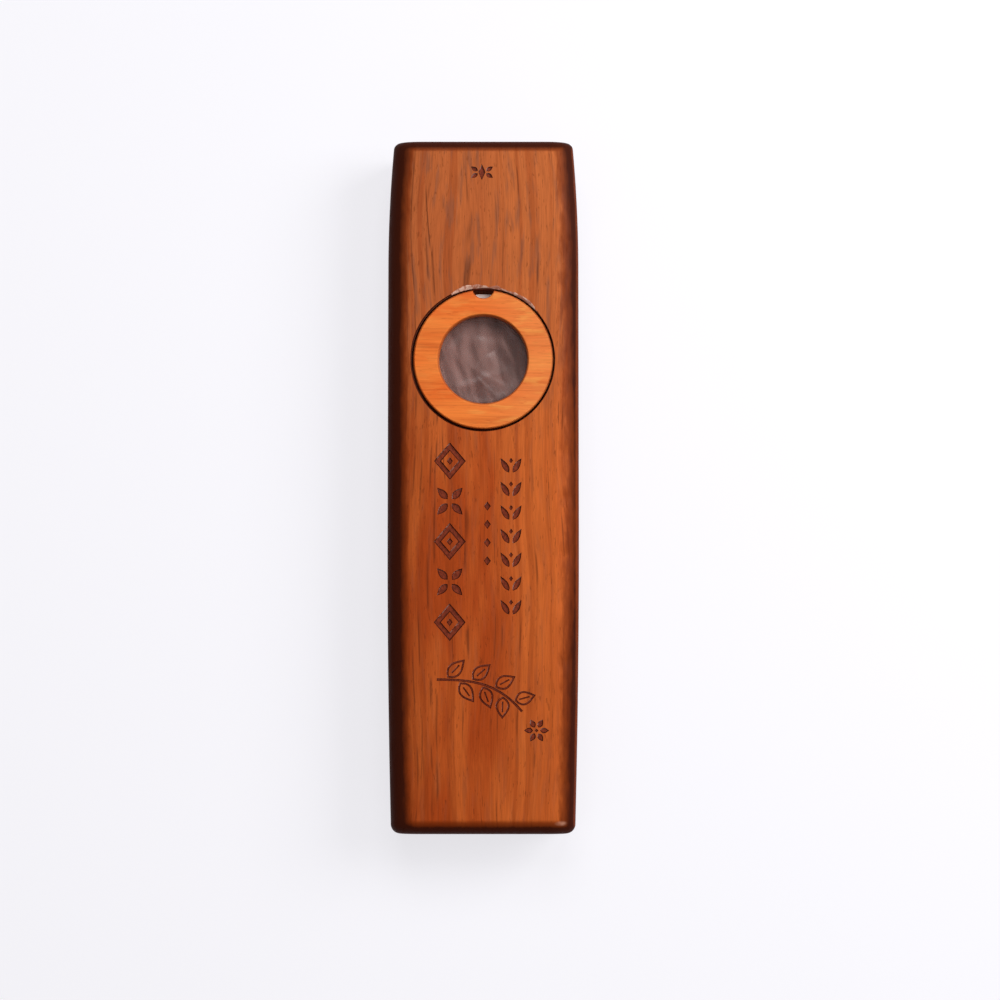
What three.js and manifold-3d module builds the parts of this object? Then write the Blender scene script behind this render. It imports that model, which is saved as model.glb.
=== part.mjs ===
// A wooden kazoo. Two glued wooden halves hold a routed sound channel that runs from a wide mouth
// slot to a round outlet. A round well in the top face opens into the channel, and in it a notched
// wooden ring clamps the vibrating membrane.
// Millimetres, +Z up, +Y towards the mouth end, origin at the centre of the bottom face.

import * as THREE from "three";
import { mergeVertices } from "three/addons/utils/BufferGeometryUtils.js";
import Module from "manifold-3d";

const wasm = await Module();
wasm.setup();

// Body
const bodyLength = 130;
const bodyWidth = 36; // at its widest, about the middle
const lowerHalfThickness = 8;
const upperHalfThickness = 8;
const longEdgeDepth = 3.2; // roundover along the four long edges, down each side
const longEdgeReach = 4.8; // and in across each face
const mouthEndDepth = 1.8; // roundover over the mouth end, down the end face
const mouthEndReach = 2.4; // and in along the top and bottom faces
const mouthCornerRadius = 1.2; // the mouth end's corners as seen from above
const outletEndDepth = 2.3; // the same at the outlet end
const outletEndReach = 3.1;
const outletCornerRadius = 1.7;
const mouthTaper = 1.1; // how far each side draws in at the mouth end
const mouthTaperLength = 24;
const outletTaper = 0.8; // how far each side draws in at the outlet end
const outletTaperLength = 58;

// Sound channel, centred on the glue line
const mouthSlotWidth = 18;
const mouthSlotHeight = 6;
const mouthSlotLip = 1; // rounding where the slot meets the end face
const mouthSlotLength = 22; // straight slot behind the mouth end
const chamberWidth = 20; // under the membrane
const chamberMargin = 3; // how far the full chamber runs past the port at each side
const outletDiameter = 9;
const outletLip = 1.2;
const outletBoreLength = 18; // straight round bore behind the outlet

// Membrane well, in the top face
const wellFromMouthEnd = 41.5; // well centre to the mouth end face
const ledgeThickness = 1.2; // wood left between the channel and the well floor
const portDiameter = 16; // hole from the channel to the membrane
const wellEdgeBreak = 0.3; // sanded edge round the well

// Retaining ring and membrane
const ringDiameter = 26.2;
const ringOpening = 16.6;
const ringThickness = 2.2;
const ringEdgeRadius = 0.35;
const ringSideClearance = 0.35; // between the ring and the well's wall
const ringBelowTop = 0.3; // the ring's face lies this far under the body's face
const notchRadius = 2.1; // thumbnail notch for lifting the ring out
const notchOutset = 0.4; // its centre to the ring's rim, outside the ring
const membraneRingDiameter = 24.8;
const membraneRingOpening = 17;
const membraneRingThickness = 1;
const adhesiveWidth = 3; // radial width of the adhesive between membrane ring and film
const adhesiveThickness = 0.1;
const filmThickness = 0.1;
const filmInset = 0.4; // film edge inside the membrane ring's edge
const filmSlack = 0.3; // how far the slack film dips at its centre

// Smoothness of the facets
const cornerSteps = 6; // per quarter turn of a long edge
const endSteps = 5; // per end roundover and per end corner
const taperSteps = 6; // along each tapered stretch
const slotSteps = 9; // per half turn of a channel end
const blendSteps = 10; // along each blend of the channel
const turnSteps = 72; // round the well and the rings
const dishSteps = 5; // from the film's centre to the port's edge
const overshoot = 1; // how far a cutter runs past the face that it cuts

// Places worked out from the sizes above
const topFace = lowerHalfThickness + upperHalfThickness;
const glueLine = lowerHalfThickness;
const mouthEnd = bodyLength / 2;
const outletEnd = -bodyLength / 2;
const wellCentre = mouthEnd - wellFromMouthEnd;
const wellRadius = ringDiameter / 2 + ringSideClearance;
const portRadius = portDiameter / 2;
const ringTop = topFace - ringBelowTop;
const ringBottom = ringTop - ringThickness;
const membraneRingBottom = ringBottom - membraneRingThickness;
const adhesiveBottom = membraneRingBottom - adhesiveThickness;
const wellFloor = adhesiveBottom - filmThickness;
const chamberHeight = 2 * (wellFloor - ledgeThickness - glueLine);
const filmRadius = membraneRingDiameter / 2 - filmInset;

// Finishes

function finish(color, roughness, extra = {}) {
  return new THREE.MeshStandardMaterial({ color, roughness, metalness: 0, ...extra });
}

const oiledRedwood = finish(0xb4602e, 0.55);
const oiledCherry = finish(0xe07a38, 0.5);
const whitePlastic = finish(0xece8e4, 0.45);
const clearFilm = finish(0x8c7873, 0.3, { transparent: true, opacity: 0.6 });
const clearAdhesive = finish(0xd8cfc4, 0.4, { transparent: true, opacity: 0.7 });

// Solids and meshes

function solidOf(geometry) {
  const bare = geometry.clone();
  bare.deleteAttribute("normal");
  bare.deleteAttribute("uv");
  const merged = mergeVertices(bare);
  return new wasm.Manifold(
    new wasm.Mesh({
      numProp: 3,
      vertProperties: new Float32Array(merged.attributes.position.array),
      triVerts: new Uint32Array(merged.index.array),
    }),
  );
}

function geometryOf(solid) {
  const { vertProperties, triVerts } = solid.getMesh();
  const geometry = new THREE.BufferGeometry();
  geometry.setAttribute("position", new THREE.BufferAttribute(vertProperties, 3));
  geometry.setIndex(new THREE.BufferAttribute(triVerts, 1));
  geometry.computeVertexNormals();
  return geometry;
}

function mesh(name, solid, material) {
  const made = new THREE.Mesh(geometryOf(solid), material);
  made.name = name;
  return made;
}

// Joins outlines with equal numbers of points into one closed solid. Each outline is convex, lies
// at one y, and runs counter-clockwise as seen looking along +Y.
function loft(outlines) {
  const count = outlines[0].length;
  const last = outlines.length - 1;
  const index = [];
  const at = (row, column) => row * count + (column % count);
  for (let row = 0; row < last; row++) {
    for (let column = 0; column < count; column++) {
      const [a, b] = [at(row, column), at(row + 1, column)];
      const [c, d] = [at(row + 1, column + 1), at(row, column + 1)];
      index.push(a, b, d, b, c, d);
    }
  }
  for (let column = 1; column < count - 1; column++) {
    index.push(at(0, 0), at(0, column), at(0, column + 1));
    index.push(at(last, 0), at(last, column + 1), at(last, column));
  }
  const geometry = new THREE.BufferGeometry().setFromPoints(outlines.flat());
  geometry.setIndex(index);
  return solidOf(geometry);
}

// Revolves a closed profile of [radius, height] pairs about the vertical through the well's centre.
// The profile runs up its outer side.
function turned(profile) {
  const points = [...profile, profile[0]].map(([radius, height]) => new THREE.Vector2(radius, height));
  const geometry = new THREE.LatheGeometry(points, turnSteps);
  geometry.rotateX(Math.PI / 2);
  geometry.translate(0, wellCentre, 0);
  return solidOf(geometry);
}

// Points of an elliptic arc, angles in quarter turns.
function ovalArc(centreX, centreZ, reachX, reachZ, from, to, steps) {
  return Array.from({ length: steps + 1 }, (_, step) => {
    const angle = ((from + ((to - from) * step) / steps) * Math.PI) / 2;
    return [centreX + reachX * Math.cos(angle), centreZ + reachZ * Math.sin(angle)];
  });
}

function arc(centreX, centreZ, radius, from, to, steps) {
  return ovalArc(centreX, centreZ, radius, radius, from, to, steps);
}

// How far an oval roundover draws a face in, at a distance in from its end.
function ovalDrawnIn(distance, reach, depth) {
  const left = Math.max(1 - distance / reach, 0);
  return depth * (1 - Math.sqrt(1 - left * left));
}

function drawnIn(distance, radius) {
  return ovalDrawnIn(distance, radius, radius);
}

function smooth(share) {
  const held = THREE.MathUtils.clamp(share, 0, 1);
  return held * held * (3 - 2 * held);
}

// Body

// Half the body's width at a place along it, before the end roundovers.
function halfWidthAt(y) {
  const towardsMouth = Math.max((y - (mouthEnd - mouthTaperLength)) / mouthTaperLength, 0);
  const towardsOutlet = Math.max((outletEnd + outletTaperLength - y) / outletTaperLength, 0);
  return bodyWidth / 2 - mouthTaper * towardsMouth ** 2 - outletTaper * towardsOutlet ** 2;
}

// The end faces, then close steps over the roundovers and corners, then wider ones over the tapers.
function bodyStations() {
  const stations = [outletEnd, mouthEnd];
  for (let step = 1; step <= endSteps; step++) {
    const share = 1 - Math.cos((step / endSteps) * (Math.PI / 2));
    stations.push(outletEnd + outletEndReach * share, outletEnd + outletCornerRadius * share);
    stations.push(mouthEnd - mouthEndReach * share, mouthEnd - mouthCornerRadius * share);
  }
  const taperFrom = mouthEnd - mouthTaperLength;
  const taperTo = outletEnd + outletTaperLength;
  for (let step = 0; step < taperSteps; step++) {
    const share = step / taperSteps;
    stations.push(taperFrom + (mouthTaperLength - mouthEndReach) * share);
    stations.push(taperTo - (outletTaperLength - outletEndReach) * share);
  }
  return stations.sort((a, b) => a - b);
}

// One half's outline at a station: square at the glue line, rounded at its outer long edges.
function halfOutline(y, outerFace) {
  const [toMouth, toOutlet] = [mouthEnd - y, y - outletEnd];
  const fromSides = drawnIn(toMouth, mouthCornerRadius) + drawnIn(toOutlet, outletCornerRadius);
  const fromFace =
    ovalDrawnIn(toMouth, mouthEndReach, mouthEndDepth) +
    ovalDrawnIn(toOutlet, outletEndReach, outletEndDepth);
  const inwards = Math.sign(glueLine - outerFace);
  const arcX = halfWidthAt(y) - longEdgeReach;
  const arcZ = outerFace + inwards * longEdgeDepth;
  const [reach, depth] = [longEdgeReach - fromSides, longEdgeDepth - fromFace];
  const side = arcX + reach;
  const outline =
    inwards > 0
      ? [
          [-side, glueLine],
          ...ovalArc(-arcX, arcZ, reach, depth, 2, 3, cornerSteps),
          ...ovalArc(arcX, arcZ, reach, depth, 3, 4, cornerSteps),
          [side, glueLine],
        ]
      : [
          [side, glueLine],
          ...ovalArc(arcX, arcZ, reach, depth, 0, 1, cornerSteps),
          ...ovalArc(-arcX, arcZ, reach, depth, 1, 2, cornerSteps),
          [-side, glueLine],
        ];
  return outline.map(([x, z]) => new THREE.Vector3(x, y, z));
}

function halfBlank(outerFace) {
  return loft(bodyStations().map((y) => halfOutline(y, outerFace)));
}

// A slot with round ends, centred on the glue line. Equal width and height make it a circle.
function slotOutline(y, width, height) {
  const radius = height / 2;
  const reach = Math.max(width / 2 - radius, 0);
  const outline = [
    ...arc(reach, glueLine, radius, -1, 1, slotSteps),
    ...arc(-reach, glueLine, radius, 1, 3, slotSteps),
  ];
  return outline.map(([x, z]) => new THREE.Vector3(x, y, z));
}

// The whole sound channel, as the cutter that both halves lose.
function channelCutter() {
  const chamberFrom = wellCentre - portRadius - chamberMargin;
  const chamberTo = wellCentre + portRadius + chamberMargin;
  const boreTo = outletEnd + outletBoreLength;
  const outlet = [outletDiameter, outletDiameter];
  const chamber = [chamberWidth, chamberHeight];
  const slot = [mouthSlotWidth, mouthSlotHeight];
  const outlines = [];
  const add = (y, [width, height], flare = 0) => {
    outlines.push(slotOutline(y, width + 2 * flare, height + 2 * flare));
  };
  const blend = (fromY, toY, from, to) => {
    for (let step = 0; step <= blendSteps; step++) {
      const share = step / blendSteps;
      const mix = (a, b) => THREE.MathUtils.lerp(a, b, smooth(share));
      add(THREE.MathUtils.lerp(fromY, toY, share), [mix(from[0], to[0]), mix(from[1], to[1])]);
    }
  };
  add(outletEnd - overshoot, outlet, outletLip);
  for (let step = 0; step < endSteps; step++) {
    const depth = outletLip * (1 - Math.cos((step / endSteps) * (Math.PI / 2)));
    add(outletEnd + depth, outlet, drawnIn(depth, outletLip));
  }
  add(outletEnd + outletLip, outlet);
  blend(boreTo, chamberFrom, outlet, chamber);
  blend(chamberTo, mouthEnd - mouthSlotLength, chamber, slot);
  add(mouthEnd - mouthSlotLip, slot);
  for (let step = endSteps - 1; step >= 0; step--) {
    const depth = mouthSlotLip * (1 - Math.cos((step / endSteps) * (Math.PI / 2)));
    add(mouthEnd - depth, slot, drawnIn(depth, mouthSlotLip));
  }
  add(mouthEnd + overshoot, slot, mouthSlotLip);
  return loft(outlines);
}

// The port through the ledge and the stepped well over it.
function wellCutter() {
  return turned([
    [0, glueLine],
    [portRadius, glueLine],
    [portRadius, wellFloor],
    [wellRadius, wellFloor],
    [wellRadius, topFace - wellEdgeBreak],
    [wellRadius + wellEdgeBreak, topFace],
    [wellRadius + wellEdgeBreak, topFace + overshoot],
    [0, topFace + overshoot],
  ]);
}

// Retaining ring and membrane

// A flat ring's profile with its upper edges rounded.
function roundedRingProfile(inner, outer, bottom, top, radius) {
  return [
    [inner, bottom],
    [outer, bottom],
    ...arc(outer - radius, top - radius, radius, 0, 1, 3),
    ...arc(inner + radius, top - radius, radius, 1, 2, 3),
  ];
}

function flatRingProfile(inner, outer, bottom, top) {
  return [
    [inner, bottom],
    [outer, bottom],
    [outer, top],
    [inner, top],
  ];
}

function retainingRing() {
  const ring = turned(
    roundedRingProfile(ringOpening / 2, ringDiameter / 2, ringBottom, ringTop, ringEdgeRadius),
  );
  const notch = new THREE.CylinderGeometry(
    notchRadius,
    notchRadius,
    ringThickness + 2 * overshoot,
    turnSteps / 2,
  );
  notch.rotateX(Math.PI / 2);
  notch.translate(0, wellCentre + ringDiameter / 2 + notchOutset, (ringTop + ringBottom) / 2);
  return ring.subtract(solidOf(notch));
}

function membraneRing() {
  const outer = membraneRingDiameter / 2;
  return turned(flatRingProfile(membraneRingOpening / 2, outer, membraneRingBottom, ringBottom));
}

function adhesiveRing() {
  const inner = filmRadius - adhesiveWidth;
  return turned(flatRingProfile(inner, filmRadius, adhesiveBottom, membraneRingBottom));
}

// The film is flat where it is glued and clamped, and dips where it is free over the port.
function film() {
  const dish = (radius) => -filmSlack * (1 - (radius / portRadius) ** 2);
  const radii = Array.from({ length: dishSteps + 1 }, (_, step) => (portRadius * step) / dishSteps);
  return turned([
    ...radii.map((radius) => [radius, wellFloor + dish(radius)]),
    [filmRadius, wellFloor],
    [filmRadius, adhesiveBottom],
    ...radii.reverse().map((radius) => [radius, adhesiveBottom + dish(radius)]),
  ]);
}

// Assembly

const channel = channelCutter();

const body = new THREE.Group();
body.add(
  mesh("body_lower_half", halfBlank(0).subtract(channel), oiledRedwood),
  mesh("body_upper_half", halfBlank(topFace).subtract(channel).subtract(wellCutter()), oiledRedwood),
);

const membrane = new THREE.Group();
membrane.add(
  mesh("membrane_ring", membraneRing(), whitePlastic),
  mesh("membrane_adhesive", adhesiveRing(), clearAdhesive),
  mesh("membrane_film", film(), clearFilm),
);

const kazoo = new THREE.Group();
kazoo.add(body, membrane, mesh("retaining_ring", retainingRing(), oiledCherry));

export default kazoo;
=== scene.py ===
"""Fine shapes, finishes and studio for a flat wooden kazoo.

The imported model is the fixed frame. Each class here makes one sub-assembly of the kazoo as fine
meshes and dresses it. Sizes are in millimetres until a mesh is made, and meshes are in metres.
+Z is up out of the face with the membrane, and +Y runs along the body to the mouth end.
"""

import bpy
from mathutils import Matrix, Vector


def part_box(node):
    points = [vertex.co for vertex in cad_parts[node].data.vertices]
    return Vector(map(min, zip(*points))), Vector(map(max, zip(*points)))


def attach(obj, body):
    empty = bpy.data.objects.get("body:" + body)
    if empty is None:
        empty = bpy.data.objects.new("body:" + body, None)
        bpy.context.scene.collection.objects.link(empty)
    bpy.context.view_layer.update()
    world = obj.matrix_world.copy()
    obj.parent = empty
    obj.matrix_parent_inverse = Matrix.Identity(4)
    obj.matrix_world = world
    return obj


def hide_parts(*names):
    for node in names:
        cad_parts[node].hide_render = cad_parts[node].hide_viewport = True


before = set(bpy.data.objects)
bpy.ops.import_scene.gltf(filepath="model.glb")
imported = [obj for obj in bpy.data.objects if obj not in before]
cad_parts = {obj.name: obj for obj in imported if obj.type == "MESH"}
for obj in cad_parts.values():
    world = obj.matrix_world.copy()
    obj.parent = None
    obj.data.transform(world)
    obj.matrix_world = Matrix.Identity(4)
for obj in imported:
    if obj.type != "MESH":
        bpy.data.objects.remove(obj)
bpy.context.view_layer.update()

import logging
import math
from abc import ABC, abstractmethod
from collections.abc import Callable, Sequence
from dataclasses import dataclass, field
from enum import Enum
from typing import Any

import bmesh
import bpy
from mathutils import Vector, noise

MM = 0.001
SMALLEST_EDGE_MM = 0.0005
FLAT_WITHIN_MM = 0.0001
MOST_LEAN_MM = 0.14  # how far in an engraved wall leans at most
TURN = 2 * math.pi
IMAGE_SIDE_PX = 1000
SOFT = {"interpolation_type": "SMOOTHSTEP"}

Point = tuple[float, float]
Place = tuple[float, float, float]
Colour = tuple[float, float, float, float]

log = logging.getLogger("kazoo")


class Body(Enum):
    """The bodies that move apart when the kazoo is taken to pieces."""

    WOOD = "body"
    MEMBRANE = "membrane"
    RING = "ring"


class Slot(Enum):
    """Names for the kazoo's material slots."""

    BODY_WOOD = "body_wood"
    RING_WOOD = "ring_wood"
    WHITE_PLASTIC = "white_plastic"
    ADHESIVE = "adhesive"
    FILM = "film"


class Grain(Enum):
    """The way that a piece of wood's grain runs, as a turn about +Z from +Y."""

    ALONG_BODY = 0.0
    ACROSS_BODY = 90.0


# Colour and nodes


def linear(hex_colour: str) -> Colour:
    """Turns an sRGB hex colour such as #b4602e into linear RGBA.

    Args:
        hex_colour: A hash and six hex digits.

    Returns:
        The linear red, green, blue and an alpha of 1.
    """
    channels = [int(hex_colour[at : at + 2], 16) / 255 for at in (1, 3, 5)]
    red, green, blue = (
        channel / 12.92 if channel <= 0.04045 else ((channel + 0.055) / 1.055) ** 2.4
        for channel in channels
    )
    return red, green, blue, 1.0


def add_node(
    tree: bpy.types.NodeTree,
    kind: str,
    inputs: dict[int | str, Any] | list[Any] | None = None,
    **settings: Any,
) -> bpy.types.Node:
    """Adds a node with its settings, values and links.

    Args:
        tree: The node tree that it goes into.
        kind: The node's type, without its ShaderNode prefix.
        inputs: Values in the order of the sockets, or by socket name or number. A node or an
            output socket is linked.
        **settings: The node's own settings, by name.

    Returns:
        The new node.
    """
    node = tree.nodes.new(f"ShaderNode{kind}")
    for name, value in settings.items():
        setattr(node, name, value)
    if isinstance(inputs, list):
        inputs = dict(enumerate(inputs))
    for key, value in (inputs or {}).items():
        if isinstance(key, int):
            socket = node.inputs[key]
        else:
            socket = next(s for s in node.inputs if s.name == key and s.enabled)
        if isinstance(value, bpy.types.Node):
            value = next(s for s in value.outputs if s.enabled)
        if isinstance(value, bpy.types.NodeSocket):
            tree.links.new(value, socket)
        else:
            socket.default_value = value
    return node


def direct_view(tree: bpy.types.NodeTree) -> bpy.types.Node:
    """Adds whether the camera sees a place itself, reflected or through a clear piece.

    Args:
        tree: The node tree that it goes into.

    Returns:
        A node with 1 for such rays, and 0 for rays that only light the scene.
    """
    rays = add_node(tree, "LightPath")
    direct = rays.outputs["Is Camera Ray"]
    for ray in ("Is Glossy Ray", "Is Transmission Ray"):
        direct = add_node(tree, "Math", [direct, rays.outputs[ray]], operation="MAXIMUM")
    return direct


class Surface:
    """A material in the making, and the point on the piece in millimetres."""

    def __init__(self, name: str) -> None:
        """Starts an empty material.

        Args:
            name: The material's name.
        """
        self.material = bpy.data.materials.new(name)
        self.material.use_nodes = True
        self.material.node_tree.nodes.clear()
        self.place = self.add("TexCoord")
        inputs = {0: self.place.outputs["Object"], "Scale": 1 / MM}
        self.point = self.add("VectorMath", inputs, operation="SCALE")

    def add(
        self, kind: str, inputs: dict[int | str, Any] | list[Any] | None = None, **settings: Any
    ) -> bpy.types.Node:
        """Adds a node to the material, as add_node does.

        Args:
            kind: The node's type, without its ShaderNode prefix.
            inputs: Its values and links.
            **settings: The node's own settings, by name.

        Returns:
            The new node.
        """
        return add_node(self.material.node_tree, kind, inputs, **settings)

    def fibres(
        self,
        point: bpy.types.Node,
        across_mm: float,
        along_mm: float,
        detail: float = 2.0,
        shift: float = 0.0,
    ) -> bpy.types.Node:
        """Adds noise whose features have a real size, long in the point's Y direction.

        Args:
            point: The node that gives the point in millimetres.
            across_mm: The features' size along X and Z.
            along_mm: The features' size along Y.
            detail: Octaves of finer noise.
            shift: Moves the pattern, so that two patterns of one size differ.

        Returns:
            The noise node.
        """
        share = (1 / across_mm, 1 / along_mm, 1 / across_mm)
        offset = (shift, shift * 0.7, -shift)
        scaled = self.add("VectorMath", [point, share, offset], operation="MULTIPLY_ADD")
        return self.add("TexNoise", {"Vector": scaled, "Scale": 1.0, "Detail": detail})

    def facing(self) -> bpy.types.Node:
        """Adds how squarely the surface faces each of the piece's axes.

        Returns:
            A node with a share for each of X, Y and Z, from 0 to 1.
        """
        inputs = [self.place.outputs["Normal"]]
        sizes = self.add("VectorMath", inputs, operation="ABSOLUTE")
        return self.add("SeparateXYZ", [sizes])

    def lean(self) -> bpy.types.Node:
        """Adds how far the surface leans away from the nearest flat face.

        Returns:
            A node with the sine of the angle: 0 on a flat face and 0.7 halfway round an edge.
        """
        axes = self.facing()
        inputs = [axes.outputs["X"], axes.outputs["Y"]]
        sideways = self.add("Math", inputs, operation="MAXIMUM")
        most = self.add("Math", [sideways, axes.outputs["Z"]], operation="MAXIMUM")
        square = self.add("Math", [most, most], operation="MULTIPLY")
        left = self.add("Math", [1.0, square], operation="SUBTRACT", use_clamp=True)
        return self.add("Math", [left], operation="SQRT")

    def finished(self, shader_inputs: dict[int | str, Any]) -> bpy.types.Material:
        """Adds the surface shader and the output.

        Args:
            shader_inputs: The Principled shader's inputs.

        Returns:
            The material.
        """
        shader = self.add("BsdfPrincipled", shader_inputs)
        self.add("OutputMaterial", {"Surface": shader})
        return self.material


# Finishes


class WoodSurface(Surface):
    """A wood's surface. It also has the point turned to the grain, and that point bent."""

    wander_width_mm: float = 13.0
    wander_length_mm: float = 36.0

    def __init__(self, name: str, grain: Grain, wander_mm: float) -> None:
        """Starts an empty material with its points.

        Args:
            name: The material's name.
            grain: The way that the grain runs.
            wander_mm: How far the grain wanders sideways.
        """
        super().__init__(name)
        self.grain = grain
        turn = (0.0, 0.0, math.radians(grain.value))
        self.turned_point = self.add("Mapping", {"Vector": self.point, "Rotation": turn})
        width, length = self.wander_width_mm, self.wander_length_mm
        drift = self.fibres(self.turned_point, width, length, 1.0, 3.0)
        inputs = [drift.outputs["Color"], (0.5, 0.5, 0.5)]
        centred = self.add("VectorMath", inputs, operation="SUBTRACT")
        reach = (4 * wander_mm, 0.0, 4 * wander_mm)
        inputs = [centred, reach, self.turned_point]
        self.bent_point = self.add("VectorMath", inputs, operation="MULTIPLY_ADD")


@dataclass(frozen=True)
class Tint:
    """A colour that comes in over a piece along one axis, between two places in millimetres."""

    colour: str
    strength: float
    start: float
    full: float


@dataclass(frozen=True)
class LongVein:
    """One long dark line in the top face, between two places in millimetres."""

    start: Point
    end: Point
    width: float
    strength: float


@dataclass(frozen=True)
class PaintedHighlight:
    """A painted highlight on a rounded edge: a pale patchy spot for a lamp's reflection, in
    millimetres.
    """

    place: Place
    reach: Place  # along each axis
    strength: float
    patch: float = 1.6
    least: float = 0.35  # how strong the painted highlight is between its patches

    def highlight_share(self, surface: Surface) -> bpy.types.Node:
        """Adds how strongly the painted highlight shows at a point: patchy, and most at its middle.

        Args:
            surface: The material in the making.

        Returns:
            A node with a share from 0 to 1.
        """
        out = surface.add("VectorMath", [surface.point, self.place], operation="SUBTRACT")
        share = surface.add("VectorMath", [out, self.reach], operation="DIVIDE")
        away = surface.add("VectorMath", [share], operation="LENGTH").outputs["Value"]
        near = surface.add("MapRange", [away, 1.0, 0.2, 0.0, self.strength], **SOFT)
        patches = surface.fibres(surface.point, self.patch, self.patch, 3.0, 2.0)
        patches = surface.add("MapRange", [patches, 0.3, 0.6, self.least, 1.0], **SOFT)
        return surface.add("Math", [near, patches], operation="MULTIPLY")


@dataclass(frozen=True)
class HandlingAndShade:
    """Darkens a piece's rounded edges most, then its sides and its ends, mostly as painted shade.

    The darkening is painted shade for the shade that falls on the rounded edges, the sides and the
    ends, with some real grime from hands and a darker end grain. A warm brown tone comes first and
    a near-black one over it. The painted shade reaches further on the left edge than on the right,
    and the middle of the right edge gets less still, as painted light where a lamp reaches it. A
    lean is the sine of the angle to the nearest flat face. Sizes and places are in millimetres.
    """

    # the warm brown and the near-black tones are painted shade, with some real grime
    oil_and_shade: str = "#8e3608"
    oil_and_shade_strength: float = 0.7
    oil_and_shade_full: float = 0.45  # the share of painted shade at which its warm brown tone is at full strength
    dirt_and_shade: str = "#300b02"
    dirt_and_shade_strength: float = 0.94
    dirt_and_shade_start: float = 0.12  # the share of the near-black painted shade's strength at which it starts to show
    patch_width: float = 0.9
    patch_length: float = 3.2
    patch_shift: float = 0.18  # how far the patches move the darkened edge
    edge_start: float = 0.18  # the lean at which an edge starts to darken
    edge_full: float = 0.52
    side_start: float = 0.85  # how squarely a face looks up or down where the painted shade on a side starts
    side_full: float = 0.45
    side_strength: float = 0.58
    lip_shift: float = 0.12  # how much further the painted shade on the edge reaches at the mouth end
    end_full: float = 0.4
    end_paleness: float = 0.42  # how much less the flat end grain is darkened than its edges
    left_shade_shift: float = 0.27  # how much further the painted shade reaches at the left edge, and less far at the right
    left_shade_at_mouth: float = 0.35  # the share of it that is left at the mouth end
    left_shade_start: float = -40.0
    left_shade_gone: float = 60.0
    right_light_shift: float = 0.26  # how much less far the painted shade reaches at the right side's middle, as painted light
    right_light_start: float = -42.0
    right_light_full: float = -4.0
    right_light_at_mouth: float = 0.5  # the share of it that is left towards the mouth end

    def over(self, surface: WoodSurface, colour: bpy.types.Node) -> bpy.types.Node:
        """Lays the painted shade, a warm brown and then a near black, over the wood's colour.

        Args:
            surface: The material in the making.
            colour: The node that gives the wood's colour.

        Returns:
            The node that gives the colour with the painted shade on it.
        """
        # painted shade over the edges, the sides and the ends
        edge_shade = self._handled_and_shaded(surface)
        inputs = [edge_shade, 0.0, self.oil_and_shade_full, 0.0, self.oil_and_shade_strength]
        oil_and_shade = surface.add("MapRange", inputs, **SOFT)
        most = self.dirt_and_shade_strength
        dirt_and_shade = surface.add("MapRange", [edge_shade, self.dirt_and_shade_start * most, most, 0.0, most])
        for share, tone in ((oil_and_shade, self.oil_and_shade), (dirt_and_shade, self.dirt_and_shade)):
            inputs = {"Factor": share, "A": colour, "B": linear(tone)}
            colour = surface.add("Mix", inputs, data_type="RGBA")
        return colour

    def _handled_and_shaded(self, surface: WoodSurface) -> bpy.types.Node:
        """Adds how much painted shade a point gets: on an edge or a side, or else on an end.

        Args:
            surface: The material in the making.

        Returns:
            A node with a share from 0 to the strength of the near-black painted shade.
        """
        normal = surface.add("SeparateXYZ", [surface.place.outputs["Normal"]])
        axes = surface.facing()
        end_name = "Y" if surface.grain is Grain.ALONG_BODY else "X"
        end_axis = axes.outputs[end_name]
        edges = self._edges(surface, normal.outputs["X"])
        # painted shade on the sides
        inputs = [axes.outputs["Z"], self.side_start, self.side_full, 0.0, self.side_strength]
        sides = surface.add("MapRange", inputs, **SOFT)
        either = surface.add("Math", [edges, sides], operation="MAXIMUM")
        square = surface.add("MapRange", [end_axis, 0.9, 0.99])
        kept = surface.add("Math", [1.0, square], operation="SUBTRACT")
        either = surface.add("Math", [either, kept], operation="MULTIPLY")
        # painted shade on the end roundovers, widest at the mouth end, partly a real darker end
        # grain
        inputs = [normal.outputs[end_name], self.lip_shift, end_axis]
        rounded = surface.add("Math", inputs, operation="MULTIPLY_ADD")
        ends = surface.add("MapRange", [rounded, 0.0, self.end_full, 0.0, self.dirt_and_shade_strength])
        flat = surface.add("MapRange", [end_axis, 0.7, 1.0, 0.0, self.end_paleness], **SOFT)
        ends = surface.add("Math", [ends, flat], operation="SUBTRACT", use_clamp=True)
        return surface.add("Math", [either, ends], operation="MAXIMUM")

    def _edges(self, surface: WoodSurface, right: bpy.types.NodeSocket) -> bpy.types.Node:
        """Adds the painted shade on the rounded edges, in patches, more at the left than the right.

        Args:
            surface: The material in the making.
            right: How far the surface faces right, from -1 to 1.

        Returns:
            A node with a share from 0 to the strength of the near-black painted shade.
        """
        point = surface.turned_point
        # noise that makes the border of the painted shade patchy
        worn = surface.fibres(point, self.patch_width, self.patch_length, 3.0, 5.0)
        inputs = [worn, self.patch_shift, surface.lean()]
        leaning = surface.add("Math", inputs, operation="MULTIPLY_ADD")
        along = surface.add("SeparateXYZ", [point]).outputs["Y"]
        # painted shade: further out on the left edge than on the right, most towards the outlet end
        least = -self.left_shade_shift * self.left_shade_at_mouth
        inputs = [along, self.left_shade_start, self.left_shade_gone, -self.left_shade_shift, least]
        left_shade = surface.add("MapRange", inputs, **SOFT)
        leaning = surface.add("Math", [right, left_shade, leaning], operation="MULTIPLY_ADD")
        right_light = self._right_light(surface, along, right)
        leaning = surface.add("Math", [leaning, right_light], operation="SUBTRACT")
        inputs = [leaning, self.edge_start, self.edge_full, 0.0, self.dirt_and_shade_strength]
        return surface.add("MapRange", inputs)

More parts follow.
